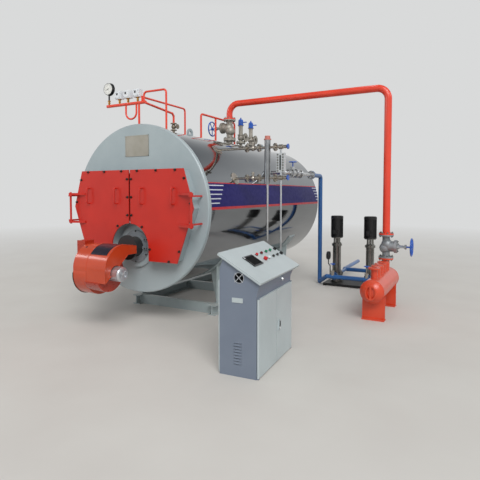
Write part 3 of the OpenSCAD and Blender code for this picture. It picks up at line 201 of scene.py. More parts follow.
@dataclass(frozen=True)
class Paint(Finish):
    """Paint sprayed or brushed over steel, with mottling, orange peel and a little dust."""

    name: str
    colour: str
    shade: str
    roughness: float = 0.35
    coat: float = 0.0
    mottle_mm: float = 320.0
    peel_mm: float = 9.0
    peel_depth_mm: float = 0.08
    dust: float = 0.25
    dust_colour: str = "#B5ADA0"
    coat_roughness: float = 0.12
    specks_in_mottle: float = 9.0
    dust_from: float = 0.55
    gloss_range: Pair = (-0.02, 0.03)

    def build(self, tree: bpy.types.NodeTree, surface: bpy.types.Node) -> None:
        """Builds mottled colour, dust on the faces that look up, and orange peel.

        Args:
            tree: Node tree of the material.
            surface: Its principled shader.
        """
        mottle = self.noise(tree, self.mottle_mm, 4.0)
        base = self.blend(tree, self.between(tree, mottle, 0.0, 1.0), linear(self.colour), linear(self.shade))
        speck = self.noise(tree, self.mottle_mm / self.specks_in_mottle, 5.0)
        geometry = add_node(tree, "ShaderNodeNewGeometry")
        up = add_node(tree, "ShaderNodeSeparateXYZ", None, {0: geometry.outputs["Normal"]})
        lies = self.between(tree, up.outputs["Z"], 0.0, self.dust, self.dust_from, 1.0)
        dusty = add_node(tree, "ShaderNodeMath", {"operation": "MULTIPLY"},
                         {0: lies, 1: self.between(tree, speck, 0.5, 1.0)})
        colour = self.blend(tree, dusty.outputs[0], base, linear(self.dust_colour))
        peel = self.noise(tree, self.peel_mm, 1.0)
        bump = add_node(tree, "ShaderNodeBump", None,
                        {"Strength": 0.6, "Distance": self.peel_depth_mm * MM, "Height": peel})
        tree.links.new(colour, surface.inputs["Base Color"])
        low, high = (self.roughness + step for step in self.gloss_range)
        tree.links.new(self.between(tree, speck, low, high), surface.inputs["Roughness"])
        tree.links.new(bump.outputs[0], surface.inputs["Normal"])
        surface.inputs["Coat Weight"].default_value = self.coat
        surface.inputs["Coat Roughness"].default_value = self.coat_roughness


@dataclass(frozen=True)
class Metal(Finish):
    """Bare metal with the marks of how its surface was made."""

    name: str
    colour: str
    shade: str
    roughness: float
    spread: float = 0.08
    mark_mm: float = 3.0
    mark_depth_mm: float = 0.03
    stretch: tuple[float, float, float] = (1.0, 1.0, 1.0)
    patch_mm: float = 120.0
    metallic: float = 1.0

    def build(self, tree: bpy.types.NodeTree, surface: bpy.types.Node) -> None:
        """Builds patches of tone and the fine marks that catch the light.

        Args:
            tree: Node tree of the material.
            surface: Its principled shader.
        """
        patch = self.noise(tree, self.patch_mm, 3.0)
        mark = self.noise(tree, self.mark_mm, 3.0, self.stretch)
        tone = self.between(tree, patch, 0.0, 1.0)
        colour = self.blend(tree, tone, linear(self.colour), linear(self.shade))
        bump = add_node(tree, "ShaderNodeBump", None,
                        {"Strength": 0.7, "Distance": self.mark_depth_mm * MM, "Height": mark})
        tree.links.new(colour, surface.inputs["Base Color"])
        tree.links.new(self.between(tree, mark, self.roughness - self.spread, self.roughness + self.spread),
                       surface.inputs["Roughness"])
        tree.links.new(bump.outputs[0], surface.inputs["Normal"])
        surface.inputs["Metallic"].default_value = self.metallic


@dataclass(frozen=True)
class MirrorSheet(Finish):
    """Rolled stainless cladding with a mirror finish, which bulges softly between its fixings."""

    name: str
    colour: str
    shade: str
    roughness: float
    wave_mm: float
    wave_depth_mm: float
    smear_stretch: tuple[float, float, float] = (1.0, 0.35, 1.0)
    wave_stretch: tuple[float, float, float] = (1.0, 0.5, 1.0)
    gloss_factors: Pair = (0.7, 1.8)

    def build(self, tree: bpy.types.NodeTree, surface: bpy.types.Node) -> None:
        """Builds the slow bulges and the smears of handling.

        Args:
            tree: Node tree of the material.
            surface: Its principled shader.
        """
        smear = self.noise(tree, self.wave_mm / 2, 4.0, self.smear_stretch)
        wave = self.noise(tree, self.wave_mm, 1.0, self.wave_stretch)
        tone = self.between(tree, smear, 0.0, 1.0)
        colour = self.blend(tree, tone, linear(self.colour), linear(self.shade))
        bump = add_node(tree, "ShaderNodeBump", None,
                        {"Strength": 1.0, "Distance": self.wave_depth_mm * MM, "Height": wave})
        tree.links.new(colour, surface.inputs["Base Color"])
        low, high = (self.roughness * factor for factor in self.gloss_factors)
        tree.links.new(self.between(tree, smear, low, high), surface.inputs["Roughness"])
        tree.links.new(bump.outputs[0], surface.inputs["Normal"])
        surface.inputs["Metallic"].default_value = 1.0


@dataclass(frozen=True)
class Moulded(Finish):
    """Moulded plastic or rubber with the fine grain of its mould."""

    name: str
    colour: str
    shade: str
    roughness: float
    grain_mm: float = 1.6
    grain_depth_mm: float = 0.05
    ior: float = 1.5
    tone_mm: float = 45.0
    gloss_range: Pair = (-0.04, 0.06)

    def build(self, tree: bpy.types.NodeTree, surface: bpy.types.Node) -> None:
        """Builds the mould's grain and a slight change of tone.

        Args:
            tree: Node tree of the material.
            surface: Its principled shader.
        """
        tone = self.noise(tree, self.tone_mm, 2.0)
        grain = self.noise(tree, self.grain_mm, 2.0)
        bump = add_node(tree, "ShaderNodeBump", None,
                        {"Strength": 0.6, "Distance": self.grain_depth_mm * MM, "Height": grain})
        colour = self.blend(tree, self.between(tree, tone, 0.0, 1.0), linear(self.colour), linear(self.shade))
        tree.links.new(colour, surface.inputs["Base Color"])
        low, high = (self.roughness + step for step in self.gloss_range)
        tree.links.new(self.between(tree, tone, low, high), surface.inputs["Roughness"])
        tree.links.new(bump.outputs[0], surface.inputs["Normal"])
        surface.inputs["IOR"].default_value = self.ior


@dataclass(frozen=True)
class TubeSheetPaint(Paint):
    """The front plate's paint, with bare sooty steel where the flue gas turns into the tubes."""

    soot: str = "#3A322C"
    rust: str = "#6B4A36"
    scale_mm: float = 60.0
    half_width_mm: float = 775.0
    low_mm: float = 1360.0
    high_mm: float = 1950.0

    def build(self, tree: bpy.types.NodeTree, surface: bpy.types.Node) -> None:
        """Builds the paint and lays the soot over the tube nests behind the doors.

        Args:
            tree: Node tree of the material.
            surface: Its principled shader.
        """
        Paint.build(self, tree, surface)
        painted = surface.inputs["Base Color"].links[0].from_socket
        place = add_node(tree, "ShaderNodeTexCoord")
        axes = add_node(tree, "ShaderNodeSeparateXYZ", None, {0: place.outputs["Object"]})
        across = add_node(tree, "ShaderNodeMath", {"operation": "ABSOLUTE"}, {0: axes.outputs["X"]})
        mask = None
        for operation, axis, edge_mm in (
            ("LESS_THAN", across.outputs[0], self.half_width_mm),
            ("GREATER_THAN", axes.outputs["Z"], self.low_mm),
            ("LESS_THAN", axes.outputs["Z"], self.high_mm),
        ):
            side = add_node(tree, "ShaderNodeMath", {"operation": operation}, {0: axis, 1: edge_mm * MM})
            if mask is None:
                mask = side
            else:
                mask = add_node(tree, "ShaderNodeMath", {"operation": "MULTIPLY"},
                                {0: mask.outputs[0], 1: side.outputs[0]})
        scale = self.between(tree, self.noise(tree, self.scale_mm, 5.0), 0.0, 1.0)
        sooty = self.blend(tree, scale, linear(self.soot), linear(self.rust))
        tree.links.new(self.blend(tree, mask.outputs[0], painted, sooty), surface.inputs["Base Color"])


@dataclass(frozen=True)
class Screed(Finish):
    """Power-floated floor that turns into the backdrop's colour far behind the boiler."""

    name: str
    colour: str
    shade: str
    backdrop: str
    near_m: float = 4.0
    far_m: float = 18.0
    cloud_mm: float = 900.0
    roughness: float = 0.75

    def build(self, tree: bpy.types.NodeTree, surface: bpy.types.Node) -> None:
        """Builds the floor's soft clouds, and the fade that only the camera sees.

        Args:
            tree: Node tree of the material.
            surface: Its principled shader.
        """
        clouds = self.between(tree, self.noise(tree, self.cloud_mm, 4.0), 0.0, 1.0)
        colour = self.blend(tree, clouds, linear(self.colour), linear(self.shade))
        tree.links.new(colour, surface.inputs["Base Color"])
        surface.inputs["Roughness"].default_value = self.roughness
        place = add_node(tree, "ShaderNodeTexCoord")
        away = add_node(tree, "ShaderNodeVectorMath", {"operation": "LENGTH"}, {0: place.outputs["Object"]})
        fade = self.between(tree, away.outputs["Value"], 0.0, 1.0, self.near_m, self.far_m)
        path = add_node(tree, "ShaderNodeLightPath")
        seen = add_node(tree, "ShaderNodeMath", {"operation": "MULTIPLY"},
                        {0: fade, 1: path.outputs["Is Camera Ray"]})
        glow = add_node(tree, "ShaderNodeEmission", None, {"Color": linear(self.backdrop)})
        mixed = add_node(tree, "ShaderNodeMixShader", None,
                         {0: seen.outputs[0], 1: surface.outputs[0], 2: glow.outputs[0]})
        tree.links.new(mixed.outputs[0], tree.get_output_node("ALL").inputs["Surface"])


# Pale grey of the backdrop, into which the floor fades.
BACKDROP = "#D9DADA"

# Paints

# Alkyd gloss sprayed over rolled plate: an even pale blue-grey with a soft sheen.
PLATE_ALKYD = Paint("plate_alkyd_blue_grey", "#A6B2B5", "#9CA9AD", 0.36, 0.15)
# The same alkyd on the front plate, burnt off behind the doors where the gas turns into the tubes.
TUBE_SHEET_ALKYD = TubeSheetPaint("tube_sheet_alkyd_blue_grey", "#A6B2B5", "#9CA9AD", 0.36, 0.15)
# The same alkyd brushed over hot-rolled beams: duller, with more dust.
BASE_ALKYD = Paint("base_alkyd_blue_grey", "#A9B4B5", "#98A4A6", 0.48, 0.0, dust=0.4)
# Gloss alkyd on the doors: an even signal red with a broad soft shine.
DOOR_ALKYD = Paint("door_alkyd_signal_red", "#C8281A", "#BC2215", 0.33, 0.12, peel_depth_mm=0.05, dust=0.06)
# Powder coat baked on pressed burner sheet: deep orange with a wet gloss.
BURNER_POWDER = Paint("burner_powder_orange", "#C4451F", "#B83D1A", 0.22, 0.4, 260.0, 12.0, 0.02, dust=0.05)
# The same powder on the fan inlet and the control box, painted a deeper red for the duct's shade on them:
# painted shade.
INLET_POWDER = Paint("burner_powder_deep_red", "#B2341C", "#A62E18", 0.28, 0.35, 260.0, 12.0, 0.02, dust=0.0)
# Heat-proof black on the neck: matt and slightly grey where it is handled.
NECK_BLACK = Paint("neck_heatproof_black", "#232425", "#2E2F31", 0.55, 0.0, dust=0.1)
# Grey alkyd on the cast flange that the burner hangs on: darker than the plate behind it.
HINGE_GREY = Paint("hinge_alkyd_grey", "#868C91", "#787E83", 0.42, 0.0, 160.0, dust=0.05)
# Gloss alkyd on the steam pipes: a clear orange red.
STEAM_ALKYD = Paint("steam_alkyd_orange_red", "#E8452C", "#DC3C24", 0.3, 0.3, dust=0.1)
# The header's own coat: a little more orange, and dustier on top.
HEADER_ALKYD = Paint("header_alkyd_orange", "#DA4C2C", "#CE4122", 0.32, 0.25, 220.0, dust=0.12)
# Gloss alkyd on the feed pipes: a clear mid blue.
FEED_ALKYD = Paint("feed_alkyd_blue", "#205A96", "#1C508A", 0.32, 0.25, dust=0.12)
# Dipped enamel on the hand wheels and the safety valves' caps: a strong blue.
WHEEL_ENAMEL = Paint("wheel_enamel_blue", "#1A5CC0", "#144EAA", 0.28, 0.3, 90.0, dust=0.1)
# Satin paint on cast pump motors and their skid: near black that still shows the ribs.
MOTOR_BLACK = Paint("motor_satin_black", "#0D0E10", "#121315", 0.48, 0.0, dust=0.05)
# Primer left on the electrode head: a flat salmon.
HEAD_PRIMER = Paint("head_primer_salmon", "#CE8478", "#C07468", 0.5, 0.0, 60.0, dust=0.1)
# Powder coat on folded cabinet sheet: blue-grey with a fine leather grain.
DESK_POWDER = Paint("desk_powder_slate", "#76808F", "#6E7888", 0.46, 0.0, 420.0, 2.2, 0.12, dust=0.1)
# Powder coat on the cabinet's doors, back and lid: pale, with the same grain.
PANEL_POWDER = Paint("panel_powder_pale", "#B8C2C4", "#AEB8BA", 0.42, 0.0, 420.0, 2.2, 0.08, dust=0.1)

# Bare metals

# Mirror-finished stainless cladding: it mirrors what stands round it, with soft bulges. Its grey is darker
# than the bare steel's, as painted shade for the dim surroundings that the drum mirrors.
CLADDING = MirrorSheet("cladding_mirror_stainless", "#8E9195", "#84888C", 0.06, 700.0, 5.0)
# Sand-cast steel bodies in aluminium wash: warm grey and grainy.
VALVE_CAST = Metal("valve_sand_cast_steel", "#B2ADA3", "#938E84", 0.5, 0.1, 5.0, 0.35, metallic=0.55)
# The same cast steel on the header's valve, painted a cooler grey for the cooler light that falls on it:
# painted light.
HEADER_CAST = Metal("header_valve_sand_cast_steel", "#A6AAAD", "#898D90", 0.5, 0.1, 5.0, 0.35, metallic=0.55)
# Cast body of the small angle valve, dulled by the heat to a brown grey.
SMALL_CAST = Metal("small_valve_cast_steel", "#9C9384", "#857C6E", 0.45, 0.08, 4.0, 0.15, metallic=0.7)
# Pickled stainless tube of the level lines: a warm dull grey.
LEVEL_TUBE = Metal("level_tube_pickled_stainless", "#B9B2A8", "#A49D93", 0.4, 0.08, 2.5, 0.02)
# Drawn stainless tube and turned flanges: bright, with fine turning lines.
TUBE_DRAWN = Metal("tube_drawn_stainless", "#D2D3D4", "#BDBFC1", 0.24, 0.08, 2.5, 0.02)
# Brushed steel of the water column: mid grey, with fine lines along it.
COLUMN_STEEL = Metal("column_brushed_steel", "#A6A8AA", "#8D9092", 0.34, 0.1, 2.5, 0.03, (1.0, 1.0, 0.1))
# Nickel plate on the gauge glass body, the knob and the lock: pale and bright.
GLASS_BODY = Metal("glass_body_nickel", "#DADDDF", "#C4C8CB", 0.28, 0.06, 4.0, 0.03)
# Die-cast aluminium of the burner's motor and the fan guard: pale and satin.
MOTOR_CAST = Metal("motor_die_cast_aluminium", "#D3D6DA", "#C3C7CC", 0.36, 0.08, 5.0, 0.05, metallic=0.85)
# Brushed stainless barrels of the pumps: dark grey, with fine lines along them.
BARREL_STEEL = Metal("barrel_brushed_stainless", "#8C8B88", "#74736F", 0.3, 0.1, 2.0, 0.03, (1.0, 1.0, 0.08))
# Brushed steel of the bare plate over the doors: an even warm grey.
PLATE_BRUSHED = Metal("plate_brushed_steel", "#B4B0A6", "#A8A498", 0.38, 0.04, 1.2, 0.008, (0.06, 1.0, 1.0))
# Zinc plate on bolts and nuts: grey with a dull shine.
ZINC = Metal("fastener_zinc_plate", "#9A9A96", "#84847F", 0.38, 0.1, 3.0, 0.05)
# Blackened studs on the smoke box doors and the burner's flange: brown black, barely shiny.
STUD_BLACK = Metal("stud_blackened_steel", "#4A4543", "#38332F", 0.5, 0.1, 3.0, 0.05, metallic=0.8)
# Machined brass stubs under the gauge and the switches: warm and bright.
BRASS = Metal("stub_machined_brass", "#B9873F", "#A27434", 0.3, 0.08, 2.5, 0.02)
# Bare weld beads: rough steel that glints along its scales.
WELD = Metal("weld_bead_steel", "#8C8C8A", "#757573", 0.45, 0.1, 4.0, 0.3, metallic=0.8)

# Plastics, rubber and glass

# Moulded black plastic of gauges and knobs: dark, with a soft sheen.
BLACK_MOULDED = Moulded("case_moulded_black", "#17181A", "#1F2022", 0.3)
# Moulded white plastic of the switch housings and the small caps: plain and half matt.
WHITE_MOULDED = Moulded("switch_moulded_white", "#E2E5E8", "#D4D8DC", 0.4)
# Extruded rubber edging along the scroll: matt black.
RUBBER = Moulded("edging_extruded_rubber", "#141414", "#1C1C1B", 0.6, 2.5)
# Matt plastic of the cabinet's fan: it stays black in its hole.
FAN_MATT = Moulded("fan_moulded_matt_black", "#0C0D0E", "#111213", 0.6, 1.6, 0.05, 1.2)
# Coated glass over the touch screen: black, with hardly a reflection.
SCREEN_GLASS = Moulded("screen_dark_glass", "#08090B", "#060708", 0.34, 40.0, 0.0, 1.08)
# Moulded lens caps of the push buttons: clear red and glossy.
LENS_RED = Moulded("lens_moulded_red", "#C9252B", "#B01E24", 0.22)
# The unlit red cap: nearly brown.
LENS_DARK_RED = Moulded("lens_moulded_dark_red", "#6E1F2A", "#5C1822", 0.25)
# The green caps: a cool bottle green.
LENS_GREEN = Moulded("lens_moulded_green", "#12805A", "#0E7050", 0.22)
# Printed vinyl film on the cladding: deep navy that dulls the mirror under it.
FILM_NAVY = Moulded("film_vinyl_navy", "#221E66", "#1D1A5C", 0.42, 30.0, 0.02, 1.25)
# The film's borders: a full red.
FILM_RED = Moulded("film_vinyl_red", "#BC202C", "#B01A26", 0.38, 30.0, 0.02)
# The film's short lines: a cool white.
FILM_WHITE = Moulded("film_vinyl_white", "#D0D5DE", "#C6CCD6", 0.38, 30.0, 0.02)
# Dark polycarbonate panel on the duct's crown: bare and glossy.
PANEL_DARK = Moulded("panel_dark_polycarbonate", "#23222E", "#2C2430", 0.2, 30.0, 0.05)
# Borosilicate strip of the sight glass: dark, with a green cast.
SIGHT_GLASS = Moulded("sight_borosilicate_dark", "#1C2A26", "#15201E", 0.06, 60.0, 0.0)
# Printed card of the dials: a soft white.
DIAL_CARD = Moulded("dial_printed_card", "#E6E6E1", "#DCDCD6", 0.5)
# Power-floated screed: pale and matt, with faint clouds.
FLOOR_SCREED = Screed("floor_power_floated_screed", "#CCC9C3", "#C7C3BD", BACKDROP)


# Mesh building


def facing(at: Sequence[float], axis: Sequence[float], up: Sequence[float] = (0, 0, 1)) -> Matrix:
    """Builds a place whose local Z looks along an axis.

    Args:
        at: Origin of the place in metres.
        axis: Direction of the local Z.
        up: Rough direction of the local Y.

    Returns:
        The place as a 4x4 matrix.
    """
    z = Vector(axis).normalized()
    guide = Vector(up)
    if abs(z.dot(guide.normalized())) > 0.99:
        guide = Vector((0, 1, 0))
    x = guide.cross(z).normalized()
    y = z.cross(x)
    turn = Matrix((x, y, z)).transposed().to_4x4()
    return Matrix.Translation(Vector(at)) @ turn


def arc(centre: Pair, radius: float, start: float, end: float, steps: int) -> list[Pair]:
    """Returns points on an arc, from start to end in degrees."""
    return [
        (centre[0] + radius * math.cos(math.radians(start + (end - start) * i / steps)),
         centre[1] + radius * math.sin(math.radians(start + (end - start) * i / steps)))
        for i in range(steps + 1)
    ]


def spoke(place: Matrix, angle: float, start: float, end: float) -> list[Vector]:
    """Returns the two ends of a bar that runs outwards in a place's plane, from start to end in mm."""
    return [place @ Vector((r * MM * math.cos(angle), r * MM * math.sin(angle), 0)) for r in (start, end)]


class PieceMesh:
    """Builds one piece's mesh from turned, extruded and swept parts."""

    def __init__(self) -> None:
        """Starts an empty mesh."""
        self.bm = bmesh.new()

    def _ring(self, place: Matrix, radius: float, height: float, sides: int) -> list[bmesh.types.BMVert]:
        """Makes a ring of vertices, or one vertex where the radius is nought.

        Args:
            place: Place of the ring's axis.
            radius: Radius in mm.
            height: Height along the axis in mm.
            sides: Number of vertices.

        Returns:
            The vertices in order.
        """
        if radius <= 0:
            return [self.bm.verts.new(place @ Vector((0, 0, height * MM)))]
        step = math.tau / sides
        r = radius * MM
        return [
            self.bm.verts.new(place @ Vector((r * math.cos(k * step), r * math.sin(k * step), height * MM)))
            for k in range(sides)
        ]

    def _skin(self, rings: Sequence[list[bmesh.types.BMVert]], closed: bool = False) -> None:
        """Joins neighbouring rings with faces.

        Args:
            rings: Rings of equal length, or single vertices at the poles.
            closed: Whether the last ring joins the first.
        """
        pairs = list(zip(rings, rings[1:]))
        if closed:
            pairs.append((rings[-1], rings[0]))
        for low, high in pairs:
            count = max(len(low), len(high))
            for k in range(count):
                corners = [low[k % len(low)], low[(k + 1) % len(low)],
                           high[(k + 1) % len(high)], high[k % len(high)]]
                self.bm.faces.new(list(dict.fromkeys(corners)))

    def lathe(self, place: Matrix, profile: Sequence[Pair], sides: int = 32) -> None:
        """Turns a profile round the local Z axis.

        Args:
            place: Place of the axis.
            profile: Radius and height pairs in mm, from the bottom up.
            sides: Number of sides, 6 for a hexagon.
        """
        self._skin([self._ring(place, radius, height, sides) for radius, height in profile])

    def torus(self, place: Matrix, radius: float, wire: float, sides: int = 48, wire_sides: int = 10) -> None:
        """Adds a ring of round wire about the local Z axis.

        Args:
            place: Place of the axis.
            radius: Radius of the ring in mm.
            wire: Radius of the wire in mm.
            sides: Steps round the ring.
            wire_sides: Steps round the wire.
        """
        circle = arc((radius, 0.0), wire, 0, 360, wire_sides)[:-1]
        self._skin([self._ring(place, r, h, sides) for r, h in circle], True)

    def prism(self, place: Matrix, outline: Sequence[Pair], depth: float) -> None:
        """Extrudes an outline along the local Z axis.

        Args:
            place: Place of the outline's plane.
            outline: Corners in mm, in order.
            depth: Depth in mm.
        """
        low = [self.bm.verts.new(place @ Vector((x * MM, y * MM, 0))) for x, y in outline]
        high = [self.bm.verts.new(place @ Vector((x * MM, y * MM, depth * MM))) for x, y in outline]
        self._skin([low, high])
        self.bm.faces.new(list(reversed(low)))
        self.bm.faces.new(high)

    def band(self, place: Matrix, outer: Sequence[Pair], inner: Sequence[Pair], depth: float) -> None:
        """Extrudes the strip between two lines of equal length along the local Z axis.

        Args:
            place: Place of the lines' plane.
            outer: Points of the outer line in mm.
            inner: Points of the inner line in mm.
            depth: Depth in mm.
        """
        rows = [
            [self.bm.verts.new(place @ Vector((x * MM, y * MM, z * MM))) for x, y in line]
            for z in (0, depth)
            for line in (outer, inner)
        ]
        for a, b in ((0, 1), (3, 2), (2, 0), (1, 3)):
            for k in range(len(outer) - 1):
                self.bm.faces.new([rows[a][k], rows[a][k + 1], rows[b][k + 1], rows[b][k]])
        for k in (0, -1):
            self.bm.faces.new([rows[0][k], rows[1][k], rows[3][k], rows[2][k]])

    def tube(self, points: Sequence[Vector], radius: float, sides: int = 12, loop: bool = False) -> None:
        """Sweeps a round tube along points.

        Args:
            points: Points in metres.
            radius: Radius in mm.
            sides: Number of sides.
            loop: Whether the last point joins the first.
        """
        rings = []
        side = None
        for k, point in enumerate(points):
            after = points[(k + 1) % len(points)] if loop else points[min(k + 1, len(points) - 1)]
            before = points[k - 1] if loop else points[max(k - 1, 0)]
            ahead = (after - before).normalized()
            if side is None:
                side = ahead.orthogonal().normalized()
            side = (side - ahead * side.dot(ahead)).normalized()
            other = ahead.cross(side)
            rings.append([
                self.bm.verts.new(point + (side * math.cos(a) + other * math.sin(a)) * radius * MM)
                for a in (math.tau * i / sides for i in range(sides))
            ])
        self._skin(rings, loop)
        if not loop:
            self.bm.faces.new(list(reversed(rings[0])))
            self.bm.faces.new(rings[-1])

    def block(self, place: Matrix, size: Sequence[float], round_mm: float = 1.5) -> None:
        """Adds a block with rounded upright edges, standing on the place.

        Args:
            place: Place of the middle of the block's foot.
            size: Width, length and height in mm.
            round_mm: Radius of its upright edges in mm.
        """
        w, l = size[0] / 2 - round_mm, size[1] / 2 - round_mm
        outline = [
            point
            for (x, y), start in (((w, l), 0), ((-w, l), 90), ((-w, -l), 180), ((w, -l), 270))
            for point in arc((x, y), round_mm, start, start + 90, 4)
        ]
        self.prism(place, outline, size[2])

    def hex_bolt(self, place: Matrix, across: float, head: float, tail: float = 0.0) -> None:
        """Adds a washer, a chamfered hexagon and the bolt's round end.

        Args:
            place: Place of the seat, looking out of it.
            across: Width over the hexagon's corners in mm.
            head: Height of the hexagon in mm.
            tail: Length of the round end above it in mm.
        """
        r = across / 2
        self.lathe(place, [(0, 0), (r * 1.25, 0), (r * 1.25, head * 0.18), (0, head * 0.18)], 24)
        self.lathe(place, [(0, head * 0.18), (r, head * 0.18), (r, head), (r * 0.86, head * 1.15),
                           (0, head * 1.15)], 6)
        if tail:
            self.lathe(place, [(0, head), (r * 0.5, head), (r * 0.5, head + tail - 1), (r * 0.4, head + tail),
                               (0, head + tail)], 16)

    def piece(self, name: str, finish: Finish, body: Body) -> None:
        """Turns the mesh into a piece that rides on a body.

        Args:
            name: Name of the piece.
            finish: Its finish.
            body: Body that it rides on.
        """
        bmesh.ops.recalc_face_normals(self.bm, faces=self.bm.faces)
        for edge in self.bm.edges:
            edge.smooth = edge.calc_face_angle(0) < math.radians(SMOOTH_BELOW)
        for face in self.bm.faces:
            face.smooth = True
        mesh = bpy.data.meshes.new(name)
        self.bm.to_mesh(mesh)
        self.bm.free()
        mesh.materials.append(finish.material())
        made = bpy.data.objects.new(name, mesh)
        bpy.context.scene.collection.objects.link(made)
        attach(made, body.value)
        LOG.info("%s: %d faces on %s", name, len(mesh.polygons), body.value)


def bolt_ring(mesh: PieceMesh, place: Matrix, circle: float, count: int, across: float, head: float,
              tail: float = 0.0, turn: float = 0.0) -> None:
    """Adds equal bolts on a circle about the place's axis.

    Args:
        mesh: Mesh that gets them.
        place: Place of the flange's face, looking out of it.
        circle: Diameter of the bolt circle in mm.
        count: Number of bolts.
        across: Width over the hexagon's corners in mm.
        head: Height of the hexagon in mm.
        tail: Length of the bolt's end above it in mm.
        turn: Angle of the first bolt in degrees.
    """
    for k in range(count):
        a = math.radians(turn + 360 * k / count)
        spot = place @ Matrix.Translation((circle / 2 * MM * math.cos(a), circle / 2 * MM * math.sin(a), 0))
        mesh.hex_bolt(spot, across, head, tail)


def saddle_weld(mesh: PieceMesh, pipe: Pair, radius: float, drum: Pair, drum_radius: float,
                bead: float, steps: int = 40) -> None:
    """Adds the weld bead where an upright pipe meets a lying cylinder.

    Args:
        mesh: Mesh that gets the bead.
        pipe: X and Y of the pipe's axis in mm.
        radius: Radius of the pipe in mm.
        drum: X and Z of the cylinder's axis in mm.
        drum_radius: Radius of the cylinder in mm.
        bead: Radius of the bead in mm.
        steps: Steps round the pipe.
    """
    points = []
    for x, y in arc(pipe, radius, 0, 360, steps)[:-1]:
        z = drum[1] + math.sqrt(drum_radius ** 2 - (x - drum[0]) ** 2)
        points.append(Vector((x, y, z)) * MM)
    mesh.tube(points, bead, 8, True)


# Sub-assemblies


@dataclass
class CadDressing:
    """Gives every solid of the frame the finish of the real piece."""

    def finishes(self) -> dict[str, Finish]:
        """Returns the finish of each node."""
        groups: list[tuple[Finish, str]] = [
            (BASE_ALKYD, "base_frame saddles"),
            (CLADDING, "shell"),
            (TUBE_SHEET_ALKYD, "front_plate"),
            (PLATE_ALKYD, "rear_plate flue_outlet smokebox_frame burner_plate lifting_lugs"),
            (DOOR_ALKYD, "door_hinge_lugs door_left door_left_fittings door_right door_right_fittings"),
            (NECK_BLACK, "burner_neck"),
            (BURNER_POWDER, "burner_duct burner_scroll"),
            (INLET_POWDER, "burner_inlet burner_box"),
            (MOTOR_CAST, "burner_motor"),
            (PLATE_BRUSHED, "nameplate"),
            (VALVE_CAST, "main_valve_body main_valve_yoke safety_valves pump_valves"),
            (HEADER_CAST, "header_valve_body header_valve_yoke"),
            (WHEEL_ENAMEL, "main_valve_wheel header_valve_wheel safety_caps small_wheels feed_wheel"),
            (STEAM_ALKYD, "steam_main vent_pipe sensor_pipes"),
            (HEADER_ALKYD, "steam_header header_legs"),
            (BRASS, "sensor_stubs"),
            (SMALL_CAST, "sensor_valve"),
            (BLACK_MOULDED, "pressure_gauge pump_gauge desk_controls"),
            (WHITE_MOULDED, "pressure_switches"),
            (LEVEL_TUBE, "level_pipes"),
            (TUBE_DRAWN, "feed_valves"),
            (COLUMN_STEEL, "level_column"),
            (HEAD_PRIMER, "level_head"),
            (GLASS_BODY, "level_glass"),
            (FEED_ALKYD, "feed_pipe pump_delivery pump_suction"),
            (MOTOR_BLACK, "pump_skid pump_motors"),
            (BARREL_STEEL, "pump_barrels"),
            (DESK_POWDER, "desk_body"),
            (PANEL_POWDER, "desk_back desk_lid desk_door_left desk_door_right"),
        ]
        return {node: finish for finish, nodes in groups for node in nodes.split()}

    def dress(self) -> None:
        """Puts each finish into its node's material slots."""
        for name, finish in self.finishes().items():
            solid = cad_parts[name]
            solid.data.materials.clear()
            solid.data.materials.append(finish.material())
            LOG.info("%s: %s", name, finish.name)


